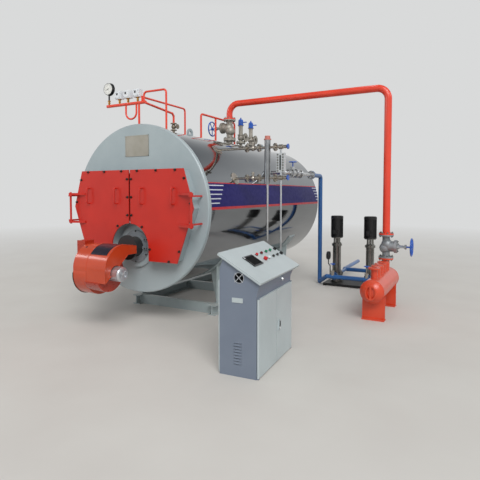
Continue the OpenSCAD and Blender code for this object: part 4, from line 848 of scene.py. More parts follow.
@dataclass
class DrumTrim:
    """Printed film along the drum's right side, and the welds of what stands on its crown."""

    radius: float = 1060.0
    axis_z: float = 1500.0
    front_y: float = -2020.0
    rear_y: float = 2078.0
    film_low: float = -6.0
    film_high: float = 337.0
    film_lift: float = 1.6
    border_low: float = 34.0
    border_high: float = 13.0
    border_lift: float = 2.4
    line: float = 13.0
    line_low: float = 70.0
    line_high: float = 292.0
    line_lift: float = 2.2
    front_lines: tuple[float, ...] = (262.0, 300.0, 340.0, 380.0, 420.0)
    rear_lines: tuple[float, ...] = (110.0, 140.0, 170.0, 205.0, 250.0)
    sink: float = 3.0
    facet: float = 12.0
    bead: float = 4.0
    crown_pipes: tuple[tuple[float, float, float], ...] = (
        (0.0, 350.0, 54.0), (0.0, 770.0, 30.0), (0.0, 1180.0, 30.0),
        (-150.0, -340.0, 17.0), (-150.0, 120.0, 17.0), (-150.0, 800.0, 17.0),
        (60.0, -1370.0, 18.0), (30.0, -1050.0, 13.0), (30.0, -1500.0, 13.0))

    def film(self, mesh: PieceMesh, low: float, high: float, start: float, end: float, lift: float) -> None:
        """Adds a curved strip of film on the drum's right side.

        Args:
            mesh: Mesh that gets the strip.
            low: Lower edge above the drum's axis in mm.
            high: Upper edge above the drum's axis in mm.
            start: Front end in mm.
            end: Rear end in mm.
            lift: Height of its face above the drum in mm.
        """
        angles = [math.degrees(math.asin(z / self.radius)) for z in (low, high)]
        steps = max(2, int((high - low) / self.facet))
        outer = arc((0, 0), self.radius + lift, angles[0], angles[1], steps)
        inner = arc((0, 0), self.radius - self.sink, angles[0], angles[1], steps)
        mesh.band(facing((0, end * MM, self.axis_z * MM), (0, -1, 0)), outer, inner, end - start)

    def build(self) -> None:
        """Builds the film, its borders and lines, and the crown's welds."""
        navy = PieceMesh()
        self.film(navy, self.film_low, self.film_high, self.front_y, self.rear_y, self.film_lift)
        navy.piece("side_film", FILM_NAVY, Body.BOILER)
        red = PieceMesh()
        for low, high in ((self.film_low, self.film_low + self.border_low),
                          (self.film_high - self.border_high, self.film_high)):
            self.film(red, low, high, self.front_y, self.rear_y, self.border_lift)
        red.piece("side_film_borders", FILM_RED, Body.BOILER)
        self.lines()
        welds = PieceMesh()
        for x, y, r in self.crown_pipes:
            saddle_weld(welds, (x, y), r, (0, self.axis_z), self.radius, self.bead)
        welds.piece("crown_welds", WELD, Body.BOILER)

    def lines(self) -> None:
        """Builds the film's short lines, which grow longer upwards at both ends."""
        mesh = PieceMesh()
        pitch = (self.line_high - self.line_low) / (len(self.front_lines) - 1)
        for k, (front, rear) in enumerate(zip(self.front_lines, self.rear_lines)):
            low = self.line_low + k * pitch
            for start, end in ((self.front_y, self.front_y + front), (self.rear_y - rear, self.rear_y)):
                self.film(mesh, low, low + self.line, start, end, self.line_lift)
        mesh.piece("side_film_lines", FILM_WHITE, Body.BOILER)


@dataclass
class SmokeBoxTrim:
    """Nuts and stud ends round both door leaves, and the edge and rivets of the bare plate above them."""

    axis_z: float = 1500.0
    spots: tuple[Pair, ...] = (
        (130, 482), (430, 482), (720, 482), (32, 380), (32, 150), (32, -80), (852, 380), (943, 80),
        (775, -500), (620, -634), (202, -224), (325, -500))
    by_scroll: Pair = (325, -500)
    across: float = 26.0
    head: float = 13.0
    tail: float = 16.0
    rim: float = 5.0
    rim_rise: float = 1.5
    rim_round: float = 1.0
    rivet_inset: float = 18.0
    rivet: tuple[Pair, ...] = ((0, 0), (6, 0), (5, 2.5), (2.5, 3.6), (0, 3.8))

    def build(self) -> None:
        """Builds the leaves' nuts, without the one that the scroll is in the way of, and the plate's edge."""
        for side, node, body in ((Side.LEFT, "door_left", Body.DOOR_LEFT),
                                 (Side.RIGHT, "door_right", Body.DOOR_RIGHT)):
            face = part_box(node)[0].y
            mesh = PieceMesh()
            for x, z in self.spots:
                if side is Side.LEFT and (x, z) == self.by_scroll:
                    continue
                at = (side.value * x * MM, face, (self.axis_z + z) * MM)
                mesh.hex_bolt(facing(at, (0, -1, 0)), self.across, self.head, self.tail)
            mesh.piece(f"{node}_nuts", STUD_BLACK, body)
        self.plate_frame()

    def plate_frame(self) -> None:
        """Builds the folded edge and the rivets of the bare plate over the doors."""
        low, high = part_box("nameplate")
        middle = (low + high) / 2
        w, h = (high.x - low.x) / MM / 2, (high.z - low.z) / MM / 2
        place = facing((middle.x, low.y, middle.z), (0, -1, 0))
        across, upright = (2 * w, 2 * self.rim), (2 * self.rim, 2 * h)
        mesh = PieceMesh()
        for x, y, size in ((0, h - self.rim, across), (0, self.rim - h, across),
                           (w - self.rim, 0, upright), (self.rim - w, 0, upright)):
            strip = place @ Matrix.Translation((x * MM, y * MM, 0))
            mesh.block(strip, (*size, self.rim_rise), self.rim_round)
        for x in (-1, 1):
            for y in (-1, 1):
                corner = (x * (w - self.rivet_inset) * MM, y * (h - self.rivet_inset) * MM, 0)
                mesh.lathe(place @ Matrix.Translation(corner), self.rivet, 20)
        mesh.piece("nameplate_edge", PLATE_BRUSHED, Body.BOILER)


@dataclass
class BurnerTrim:
    """Edges, bolts, panel and edging of the burner, its hinge flange, and the grille of its motor."""

    plate_y: float = -2080.0
    furnace_z: float = 1010.0
    fan: Pair = (565.0, 745.0)
    crown: Pair = (455.0, 790.0)
    crown_radius: float = 290.0
    tip: Pair = (745.0, 650.0)
    heel: Pair = (360.0, 950.0)
    mouth: Pair = (210.3, 1042.0)
    duct_x: Pair = (-155.0, 155.0)
    lip: float = 4.5
    duct_bolts: tuple[Pair, ...] = ((232, 1046), (292, 1055))
    duct_bolt_xs: tuple[float, ...] = (-110, 0, 110)
    panel_from: float = 39.0
    panel_end: Pair = (352.0, 1064.0)
    panel_x: Pair = (-140.0, 122.0)
    panel_lift: float = 2.4
    panel_sink: float = 2.0
    # Small dark cap where a round hole in the scroll shows only shade: painted shade.
    plug: Pair = (-300.0, 62.0)
    plug_sink: float = 6.0
    plug_profile: tuple[Pair, ...] = ((0, -2), (13, -2), (13, 2), (9, 3), (0, 3))
    scroll_x: float = -375.0
    scroll: Pair = (495.0, 710.0)
    scroll_radius: float = 250.0
    edging: Pair = (8.0, -118.0)
    edging_wire: float = 4.5
    flange_y: float = 30.0
    flange_profile: tuple[Pair, ...] = (
        (130, 0), (212, 0), (212, 12), (196, 16), (166, 16), (160, 24), (130, 24), (130, 0))
    flange_face: float = 12.0
    flange_circle: float = 394.0
    arm_zs: Pair = (96.0, -18.0)
    arm_seat: float = 24.0
    arm_t: float = 14.0
    arm_reach: float = 236.0
    arm_bolts: Pair = (165.0, 200.0)
    pin: tuple[float, float, float] = (218.0, 61.0, 46.0)
    pin_profile: tuple[Pair, ...] = ((0, 0), (9, 0), (9, 172), (12, 172), (12, 180), (0, 180))
    motor_x: float = 268.0
    grille_sink: float = 5.0
    grille_rings: tuple[float, ...] = (14, 26, 38, 50)
    grille_bars: int = 8
    grille_hub: tuple[Pair, ...] = ((0, -4), (12, -4), (12, 2), (9, 4), (0, 4))

    def side_on(self, x: float) -> Matrix:
        """Returns the place of a side outline, in distance from the plate and height, deep to -X."""
        return facing((x * MM, self.plate_y * MM, 0), (-1, 0, 0))

    def crest(self) -> list[Pair]:
        """Returns the duct's upper line from its mouth over the crown to its tip."""
        bow = arc(self.crown, self.crown_radius, 90, 0, 36)
        return [self.mouth, *bow, self.tip]

    def spots(self, x: float, line: Iterable[Pair]) -> list[Vector]:
        """Returns the points of a side outline in the frame, at one X."""
        return [Vector((x, self.plate_y - distance, z)) * MM for distance, z in line]

    def build(self) -> None:
        """Builds the duct's edges and bolts, and then the other pieces."""
        edges = PieceMesh()
        outline = [*self.crest(), self.heel, (self.mouth[0], self.heel[1])]
        edges.tube(self.spots(self.duct_x[1] - 1, outline), self.lip, 10, True)
        edges.tube(self.spots(self.duct_x[0], self.crest()), self.lip + 1, 10)
        for distance, z in self.duct_bolts:
            for x in self.duct_bolt_xs:
                at = (x * MM, (self.plate_y - distance) * MM, z * MM)
                edges.hex_bolt(facing(at, (0, 0.15, 1)), 15, 6)
        edges.piece("duct_edges", BURNER_POWDER, Body.BOILER)
        self.panel()
        self.rubber_edging()
        self.hinge_flange()
        self.grille()

    def panel(self) -> None:
        """Builds the bare dark panel on the duct's crown, and a small dark cap in the scroll that paints the
        shade of a round hole there.
        """
        mesh = PieceMesh()
        line = [*arc(self.crown, self.crown_radius, self.panel_from, 90, 22), self.panel_end]
        centre = Vector(self.crown)
        outer = [tuple(Vector(p) + (Vector(p) - centre).normalized() * self.panel_lift) for p in line]
        inner = [tuple(Vector(p) - (Vector(p) - centre).normalized() * self.panel_sink) for p in line]
        mesh.band(self.side_on(self.panel_x[1]), outer, inner, self.panel_x[1] - self.panel_x[0])
        # The dark cap paints the shade inside the scroll's round hole.
        x, angle = self.plug
        at = arc(self.crown, self.crown_radius - self.plug_sink, angle, angle, 1)[0]
        out = (0, -math.cos(math.radians(angle)), math.sin(math.radians(angle)))
        mesh.lathe(facing(self.spots(x, [at])[0], out), self.plug_profile, 24)
        mesh.piece("duct_panel", PANEL_DARK, Body.BOILER)

    def rubber_edging(self) -> None:
        """Builds the rubber edging round the low side of the scroll."""
        mesh = PieceMesh()
        low = arc(self.scroll, self.scroll_radius + 3, self.edging[0], self.edging[1], 40)
        mesh.tube(self.spots(self.scroll_x + 2, low), self.edging_wire, 10)
        mesh.piece("scroll_edging", RUBBER, Body.BOILER)

    def hinge_flange(self) -> None:
        """Builds the cast flange with its two arms and the pin that the burner hangs on, and their studs."""
        base = facing((0, (self.plate_y - self.flange_y) * MM, self.furnace_z * MM), (0, -1, 0))
        cast = PieceMesh()
        cast.lathe(base, self.flange_profile, 64)
        studs = PieceMesh()
        face = base @ Matrix.Translation((0, 0, self.flange_face * MM))
        bolt_ring(studs, face, self.flange_circle, 6, 20, 9, 8, 30)
        end = self.arm_reach
        for z in self.arm_zs:
            arm = [(120, z - 4), (150, z - 16), (end - 12, z - 16), (end, z - 6), (end, z + 6),
                   (end - 12, z + 16), (150, z + 16), (120, z + 30)]
            cast.prism(base @ Matrix.Translation((0, 0, self.arm_seat * MM)), arm, self.arm_t)
            for x in self.arm_bolts:
                spot = (x * MM, z * MM, (self.arm_seat + self.arm_t) * MM)
                studs.hex_bolt(base @ Matrix.Translation(spot), 17, 7)
        x, out, down = self.pin
        foot = (x * MM, (self.plate_y - out) * MM, (self.furnace_z - down) * MM)
        cast.lathe(facing(foot, (0, 0, 1), (0, 1, 0)), self.pin_profile, 24)
        cast.piece("burner_hinge_flange", HINGE_GREY, Body.BOILER)
        studs.piece("burner_hinge_studs", STUD_BLACK, Body.BOILER)

    def grille(self) -> None:
        """Builds the rings and bars of the motor's air grille."""
        mesh = PieceMesh()
        at = ((self.motor_x - self.grille_sink) * MM, (self.plate_y - self.fan[0]) * MM, self.fan[1] * MM)
        place = facing(at, (1, 0, 0))
        for radius in self.grille_rings:
            mesh.torus(place, radius, 2.6, 48, 8)
        for k in range(self.grille_bars):
            mesh.tube(spoke(place, math.tau * k / self.grille_bars, 8, 60), 2.4, 8)
        mesh.lathe(place, self.grille_hub, 24)
        mesh.piece("motor_grille", MOTOR_CAST, Body.BOILER)


@dataclass
class SteamTrim:
    """Studs and nuts of the steam line's flanges, and welds of the header."""

    steam_y: float = 350.0
    header: Pair = (2710.0, 400.0)
    header_radius: float = 155.0
    main_joints: Pair = (2650.0, 3000.0)
    header_joints: Pair = (730.0, 1080.0)
    flange: float = 20.0
    bolt_circle: float = 180.0
    bonnet_x: float = 160.0
    bonnet_z: Pair = (2860.0, 905.0)
    bonnet_circle: float = 160.0
    outlets: tuple[float, ...] = (135.0, -70.0, -275.0, -480.0)
    outlet_radius: float = 44.0
    main_radius: float = 54.0
    head_seams: Pair = (-618.0, 558.0)
    outlet_bead: float = 4.0
    main_bead: float = 5.0
    seam_bead: float = 3.0
    safety_ys: Pair = (770.0, 1180.0)
    safety_joint: float = 2638.0
    safety_circle: float = 130.0
    safety_flange: float = 18.0

    def joint(self, mesh: PieceMesh, spot: Sequence[float], circle: float, count: int, half: float,
              across: float) -> None:
        """Adds the nuts above and below one flange joint.

        Args:
            mesh: Mesh that gets them.
            spot: Middle of the joint's face in mm.
            circle: Bolt circle in mm.
            count: Number of bolts.
            half: Thickness of one flange in mm.
            across: Width over a nut's corners in mm.
        """
        x, y, z = spot
        for way in (1, -1):
            place = facing((x * MM, y * MM, (z + way * half) * MM), (0, 0, way), (0, 1, 0))
            bolt_ring(mesh, place, circle, count, across, across * 0.45, across * 0.4, 180 / count)

    def build(self) -> None:
        """Builds the flanges' nuts and the header's welds."""
        mesh = PieceMesh()
        for x, joints in ((0, self.main_joints), (self.header[0], self.header_joints)):
            for z in joints:
                self.joint(mesh, (x, self.steam_y, z), self.bolt_circle, 8, self.flange, 26)
        for x, z, way in ((-self.bonnet_x, self.bonnet_z[0], -1),
                          (self.header[0] + self.bonnet_x, self.bonnet_z[1], 1)):
            place = facing((x * MM, self.steam_y * MM, z * MM), (way, 0, 0))
            bolt_ring(mesh, place, self.bonnet_circle, 8, 20, 10, 7, 22.5)
        for y in self.safety_ys:
            self.joint(mesh, (0, y, self.safety_joint), self.safety_circle, 4, self.safety_flange, 22)
        mesh.piece("steam_flange_nuts", ZINC, Body.BOILER)
        self.welds()

    def welds(self) -> None:
        """Builds the weld beads round the header's outlets, its inlet and its heads."""
        mesh = PieceMesh()
        x, z = self.header
        for y in self.outlets:
            saddle_weld(mesh, (x, y), self.outlet_radius, self.header, self.header_radius, self.outlet_bead)
        inlet = (x, self.steam_y)
        saddle_weld(mesh, inlet, self.main_radius, self.header, self.header_radius, self.main_bead)
        for y in self.head_seams:
            seam = facing((x * MM, y * MM, z * MM), (0, 1, 0))
            mesh.torus(seam, self.header_radius, self.seam_bead)
        mesh.piece("header_welds", HEADER_ALKYD, Body.BOILER)


@dataclass
class Dial:
    """Round dial with its card, marks, needle and rim."""

    radius: float
    marks: int = 21
    long_every: int = 5
    start: float = 225.0
    sweep: float = 270.0
    reading: float = 0.1

    def build(self, name: str, place: Matrix) -> None:
        """Builds the dial on a gauge's face.

        Args:
            name: Name that its pieces start with.
            place: Place of the face, looking out of it.
        """
        r = self.radius
        card = PieceMesh()
        card.lathe(place, [(0, 0), (r * 0.94, 0), (r * 0.94, 1), (0, 1)], 48)
        card.piece(f"{name}_card", DIAL_CARD, Body.BOILER)
        ink = PieceMesh()
        for k in range(self.marks):
            turn = Matrix.Rotation(math.radians(self.start - self.sweep * k / (self.marks - 1)), 4, "Z")
            middle, length = (0.72, 0.16) if k % self.long_every == 0 else (0.77, 0.08)
            spot = place @ turn @ Matrix.Translation((r * middle * MM, 0, 1 * MM))
            ink.block(spot, (r * length, r * 0.03, 0.8), 0.3)
        needle = place @ Matrix.Rotation(math.radians(self.start - self.sweep * self.reading), 4, "Z")
        ink.prism(needle @ Matrix.Translation((0, 0, 2 * MM)),
                  [(-r * 0.2, -2), (r * 0.66, -0.6), (r * 0.66, 0.6), (-r * 0.2, 2)], 1)
        ink.lathe(place, [(0, 1), (r * 0.08, 1), (r * 0.08, 4), (0, 4)], 20)
        ink.torus(place, r * 0.97, r * 0.04, 64, 10)
        ink.piece(f"{name}_marks", BLACK_MOULDED, Body.BOILER)


@dataclass
class FittingTrim:
    """Dials, switch windows, gauge glass strip, drain tube and the small flanges' nuts."""

    gauge: Pair = (-550.0, 3115.0)
    gauge_radius: float = 78.0
    switch_xs: tuple[float, ...] = (-360.0, -210.0, -45.0)
    window: Pair = (-12.0, 14.0)
    window_size: tuple[float, float, float] = (26.0, 30.0, 1.2)
    screw: Pair = (36.0, 28.0)
    screw_profile: tuple[Pair, ...] = ((0, 0), (3.5, 0), (3, 1.6), (0, 1.8))
    pump_gauge: Pair = (1340.0, 562.0)
    pump_gauge_radius: float = 74.0
    level_y: float = -1230.0
    level_zs: Pair = (1900.0, 2300.0)
    level_flanges: tuple[float, ...] = (1170.0, 1351.0, 1585.0)
    level_flange: float = 11.0
    level_circle: float = 78.0
    column_foot: float = 1818.0
    sleeve: Pair = (13.0, 14.8)
    glass_x: float = 1664.0
    glass_z: Pair = (1970.0, 2219.0)
    glass_depth: float = 56.0
    strip_sink: float = 6.5
    strip_end: float = 29.0
    cover_bolts: int = 7
    cover_bolt: Pair = (36.0, 22.0)
    feed: Pair = (1310.0, 2020.0)
    feed_flanges: tuple[float, ...] = (-15.0, 175.0, 375.0)
    feed_flange: float = 20.0
    feed_circle: float = 112.0
    feed_face: float = 953.0
    seat: float = 0.3

    def build(self) -> None:
        """Builds the dials, the windows, the glass strip, the drain tube and the nuts."""
        front = facing((self.gauge[0] * MM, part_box("pressure_gauge")[0].y, self.gauge[1] * MM), (0, -1, 0))
        Dial(self.gauge_radius).build("boiler_dial", front)
        y, z = self.pump_gauge
        side = facing((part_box("pump_gauge")[0].x, y * MM, z * MM), (-1, 0, 0))
        Dial(self.pump_gauge_radius).build("pump_dial", side)
        self.switch_windows()
        self.sight_glass()
        self.drain_sleeve()
        self.flange_nuts()

    def switch_windows(self) -> None:
        """Builds the dark windows and the screws of the three pressure switches."""
        mesh = PieceMesh()
        low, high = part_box("pressure_switches")
        for x in self.switch_xs:
            face = facing((x * MM, low.y, (low.z + high.z) / 2), (0, -1, 0))
            window = face @ Matrix.Translation((self.window[0] * MM, self.window[1] * MM, 0))
            mesh.block(window, self.window_size, 2)
            for dx in (-self.screw[0], self.screw[0]):
                for dz in (-self.screw[1], self.screw[1]):
                    mesh.lathe(face @ Matrix.Translation((dx * MM, dz * MM, 0)), self.screw_profile, 12)
        mesh.piece("switch_windows", BLACK_MOULDED, Body.BOILER)

    def sight_glass(self) -> None:
        """Builds the glass strip in its slot and the bolts of its cover."""
        low, high = self.glass_z
        y = self.level_y - self.glass_depth / 2
        middle = (self.glass_x * MM, (y + self.strip_sink) * MM, (low + high) / 2 * MM)
        glass = PieceMesh()
        glass.block(facing(middle, (0, -1, 0)), (20, high - low - 2 * self.strip_end, 4), 4)
        glass.piece("sight_strip", SIGHT_GLASS, Body.BOILER)
        bolts = PieceMesh()
        side, inset = self.cover_bolt
        for x in (-side, side):
            for k in range(self.cover_bolts):
                z = low + inset + k * (high - low - 2 * inset) / (self.cover_bolts - 1)
                spot = ((self.glass_x + x) * MM, y * MM, z * MM)
                bolts.hex_bolt(facing(spot, (0, -1, 0)), 20, 9, 7)
        bolts.piece("sight_bolts", ZINC, Body.BOILER)

    def drain_sleeve(self) -> None:
        """Builds the bright tube that the water column drains through."""
        low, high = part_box("level_column")
        place = facing(((low.x + high.x) / 2, (low.y + high.y) / 2, low.z), (0, 0, 1), (0, 1, 0))
        top = self.column_foot - low.z / MM - 1
        inner, outer = self.sleeve
        mesh = PieceMesh()
        mesh.lathe(place, [(inner, 1), (outer, 1), (outer, top), (inner, top), (inner, 1)], 32)
        mesh.piece("column_drain_sleeve", TUBE_DRAWN, Body.BOILER)

    def flange_nuts(self) -> None:
        """Builds the nuts on the gauge lines' and the feed line's flanges."""
        mesh = PieceMesh()
        for z in self.level_zs:
            for x in self.level_flanges:
                for way in (-1, 1):
                    spot = ((x + way * self.level_flange) * MM, self.level_y * MM, z * MM)
                    bolt_ring(mesh, facing(spot, (way, 0, 0)), self.level_circle, 4, 14, 7, 5, 45)
        faces = [(y + way * self.feed_flange, way) for y in self.feed_flanges for way in (-1, 1)]
        faces += [(self.feed_face - self.feed_flange - self.seat, -1), (self.feed_face + self.feed_flange, 1)]
        for y, way in faces:
            place = facing((self.feed[0] * MM, y * MM, self.feed[1] * MM), (0, way, 0))
            bolt_ring(mesh, place, self.feed_circle, 4, 20, 9, 7, 45)
        mesh.piece("small_flange_nuts", ZINC, Body.BOILER)


@dataclass
class PumpTrim:
    """Nuts of the pumps' tie rods and ports."""

    xs: Pair = (1600.0, 2210.0)
    y: float = 1600.0
    top: float = 760.0
    rod_circle: float = 152.0
    port: Pair = (178.3, 175.0)
    port_circle: float = 116.0

    def build(self) -> None:
        """Builds the nuts of both pumps."""
        mesh = PieceMesh()
        out, z = self.port
        for x in self.xs:
            place = facing((x * MM, self.y * MM, self.top * MM), (0, 0, 1), (0, 1, 0))
            bolt_ring(mesh, place, self.rod_circle, 4, 24, 12, 10, 45)
            for way in (-1, 1):
                spot = (x * MM, (self.y + way * out) * MM, z * MM)
                bolt_ring(mesh, facing(spot, (0, way, 0)), self.port_circle, 4, 18, 8, 6, 45)
        mesh.piece("pump_nuts", ZINC, Body.BOILER)


@dataclass
class DeskTrim:
    """Screen, buttons, fan, guard, hoods and small plates of the control desk."""

    corner: Pair = (1808.0, -3017.0)
    turn: float = 3.5
    high: float = 1150.0
    low: float = 898.0
    run: float = 433.0
    screen_x: Pair = (150.0, 304.0)
    screen_y: Pair = (225.0, 445.0)
    screen_rise: float = 7.3
    bezel: float = 14.0
    tag: tuple[float, float, float] = (20.0, 5.0, 10.0)
    button: Pair = (15.0, 25.0)
    knock_button: Pair = (22.0, 32.0)
    rows: Pair = (171.0, 261.0)
    row_ys: tuple[float, ...] = (535.0, 663.0, 797.0, 916.0)
    low_row_ys: tuple[float, ...] = (689.0, 824.0, 943.0)
    knock_y: float = 581.0
    ring: Pair = (16.2, 1.8)
    ring_rise: float = 6.0
    fan: Pair = (199.0, 925.0)
    fan_radius: float = 46.0
    fan_sink: float = 9.0
    blades: int = 7
    louvre: tuple[float, float, float] = (146.0, 114.0, 80.0)
    louvre_rise: float = 11.0
    louvre_pitch: float = 28.0
    louvre_count: int = 8
    hood: tuple[Pair, ...] = ((0, 3), (-5, -3), (-6.5, -4), (-5, -4.5), (0, -1))
    plate: tuple[float, float, float, float] = (130.0, 694.0, 110.0, 44.0)
    knob: tuple[float, float, float] = (393.0, 602.0, 835.0)
    knob_slope: Pair = (24.0, 60.0)
    knob_profile: tuple[Pair, ...] = (
        (0, 0.5), (20, 0.5), (20, 4), (17.5, 5), (17.5, 25), (15, 29), (0, 30))
    lock: tuple[float, float, float] = (409.5, 531.0, 373.5)

    def place(self) -> Matrix:
        """Returns the place of the desk's back corner on the floor."""
        return (Matrix.Translation((self.corner[0] * MM, self.corner[1] * MM, 0))
                @ Matrix.Rotation(math.radians(self.turn), 4, "Z"))

    def lid(self, x: float, y: float, rise: float = 0.0) -> Matrix:
        """Returns a place on the lid, x down its slope and y along it, in mm."""
        tilt = Matrix.Rotation(math.atan2(self.high - self.low, self.run), 4, "Y")
        return (self.place() @ Matrix.Translation((0, 0, self.high * MM)) @ tilt
                @ Matrix.Translation((x * MM, y * MM, rise * MM)))

    def side(self, x: float, z: float, out: float = 0.0) -> Matrix:
        """Returns a place on the desk's left side, looking out of it."""
        return self.place() @ facing((x * MM, -out * MM, z * MM), (0, -1, 0))

    def front(self, spot: Sequence[float], lean: float = 0.0) -> Matrix:
        """Returns a place on the desk's front, looking out of it, leaned up by an angle in radians."""
        return (self.place() @ Matrix.Translation([value * MM for value in spot])
                @ Matrix.Rotation(math.radians(90) + lean, 4, "Y"))

    def build(self) -> None:
        """Builds the lid's pieces, the side's pieces and the front's."""
        self.screen()
        self.buttons()
        self.cooling_fan()
        self.side_pieces()
        self.front_pieces()

    def screen(self) -> None:
        """Builds the touch screen's glass in its bezel, and the blank tag beside it."""
        glass = PieceMesh()
        (x0, x1), (y0, y1) = self.screen_x, self.screen_y
        size = (x1 - x0 - 2 * self.bezel - 1, y1 - y0 - 2 * self.bezel - 1, 1.6)
        glass.block(self.lid((x0 + x1) / 2, (y0 + y1) / 2, self.screen_rise), size, 2)
        glass.piece("desk_screen", SCREEN_GLASS, Body.BOILER)
        tag = PieceMesh()
        down, along, rise = self.tag
        tag.block(self.lid(x0 + down, y0 + along, rise), (24, 16, 1.4), 1)
        tag.piece("desk_tag", WHITE_MOULDED, Body.BOILER)

    def lens(self, mesh: PieceMesh, x: float, y: float, size: Pair) -> None:
        """Adds one domed lens cap over a button.

        Args:
            mesh: Mesh that gets it.
            x: Distance down the slope in mm.
            y: Distance along the lid in mm.
            size: Radius and height of the cap in mm.
        """
        radius, top = size
        mesh.lathe(self.lid(x, y), [(0, 6), (radius, 6), (radius, top - 4), (radius * 0.86, top - 1),
                                    (radius * 0.5, top + 1), (0, top + 1.5)], 32)

    def buttons(self) -> None:
        """Builds the coloured caps, one piece for each colour, and the bezel rings."""
        top, low = self.rows
        caps: tuple[tuple[str, Finish, tuple[tuple[float, float, Pair], ...]], ...] = (
            ("red", LENS_RED, ((top, self.row_ys[0], self.button), (low, self.knock_y, self.knock_button))),
            ("dark_red", LENS_DARK_RED, ((top, self.row_ys[1], self.button),)),
            ("green", LENS_GREEN, tuple((top, y, self.button) for y in self.row_ys[2:])),
            ("white", WHITE_MOULDED, ((low, self.low_row_ys[0], self.button),)),
        )
        for name, finish, spots in caps:
            mesh = PieceMesh()
            for x, y, size in spots:
                self.lens(mesh, x, y, size)
            mesh.piece(f"desk_caps_{name}", finish, Body.BOILER)
        rings = PieceMesh()
        for x, ys in ((top, self.row_ys), (low, self.low_row_ys)):
            for y in ys:
                rings.torus(self.lid(x, y, self.ring_rise), *self.ring, 32, 8)
        rings.piece("desk_button_rings", ZINC, Body.BOILER)

    def cooling_fan(self) -> None:
        """Builds the fan in its hole and the guard of a rim and four bars over it."""
        fan = PieceMesh()
        deep = self.side(*self.fan, -self.fan_sink)
        r = self.fan_radius
        fan.lathe(deep, [(0, -4), (r, -4), (r, -3), (0, -3)], 40)
        for k in range(self.blades):
            a = 360 * k / self.blades
            fan.prism(deep, [*arc((0, 0), 40, a, a + 30, 6), *arc((0, 0), 14, a + 34, a + 4, 3)], 3)
        fan.lathe(deep, [(0, 0), (15, 0), (15, 6), (0, 6)], 24)
        fan.piece("desk_fan", FAN_MATT, Body.BOILER)
        guard = PieceMesh()
        rim = self.side(*self.fan, 1.0)
        guard.torus(rim, r + 3, 2.6, 48, 8)
        for angle in (45, 135, 225, 315):
            guard.tube(spoke(rim, math.radians(angle), 0, r + 14), 3.4, 8)
        guard.piece("desk_fan_guard", MOTOR_CAST, Body.BOILER)

    def side_pieces(self) -> None:
        """Builds the hoods over the louvres and the blank plate."""
        hoods = PieceMesh()
        x, z, length = self.louvre
        for k in range(self.louvre_count):
            row = self.side(x + length / 2, z + self.louvre_rise + k * self.louvre_pitch)
            hoods.prism(row @ facing((-length / 2 * MM, 0, 0), (1, 0, 0), (0, 1, 0)), self.hood, length)
        hoods.piece("desk_hoods", DESK_POWDER, Body.BOILER)
        blank = PieceMesh()
        x, z, w, h = self.plate
        blank.block(self.side(x + w / 2, z + h / 2), (w, h, 5), 4)
        blank.piece("desk_side_plate", PANEL_POWDER, Body.BOILER)

    def front_pieces(self) -> None:
        """Builds the bright knob on the front band, and the lock on the right leaf with a black bar on it
        that paints the dark line of shade beside its bright handle.
        """
        knob = PieceMesh()
        knob.lathe(self.front(self.knob, math.atan2(*self.knob_slope)), self.knob_profile, 32)
        knob.piece("desk_knob", GLASS_BODY, Body.BOILER)
        spot = self.front(self.lock)
        lock = PieceMesh()
        lock.block(spot, (96, 24, 3), 8)
        lock.lathe(spot @ Matrix.Translation((34 * MM, 0, 3 * MM)), [(0, 0), (8, 0), (8, 4), (0, 4)], 24)
        lock.piece("desk_lock", GLASS_BODY, Body.DESK_RIGHT)
        # Black bar over the lock: painted shade for the dark line beside the bright handle.
        lever = PieceMesh()
        lever.block(spot @ Matrix.Translation((-12 * MM, 0, 3 * MM)), (58, 11, 5), 5)
        lever.piece("desk_lock_shade_bar", BLACK_MOULDED, Body.DESK_RIGHT)


# Studio


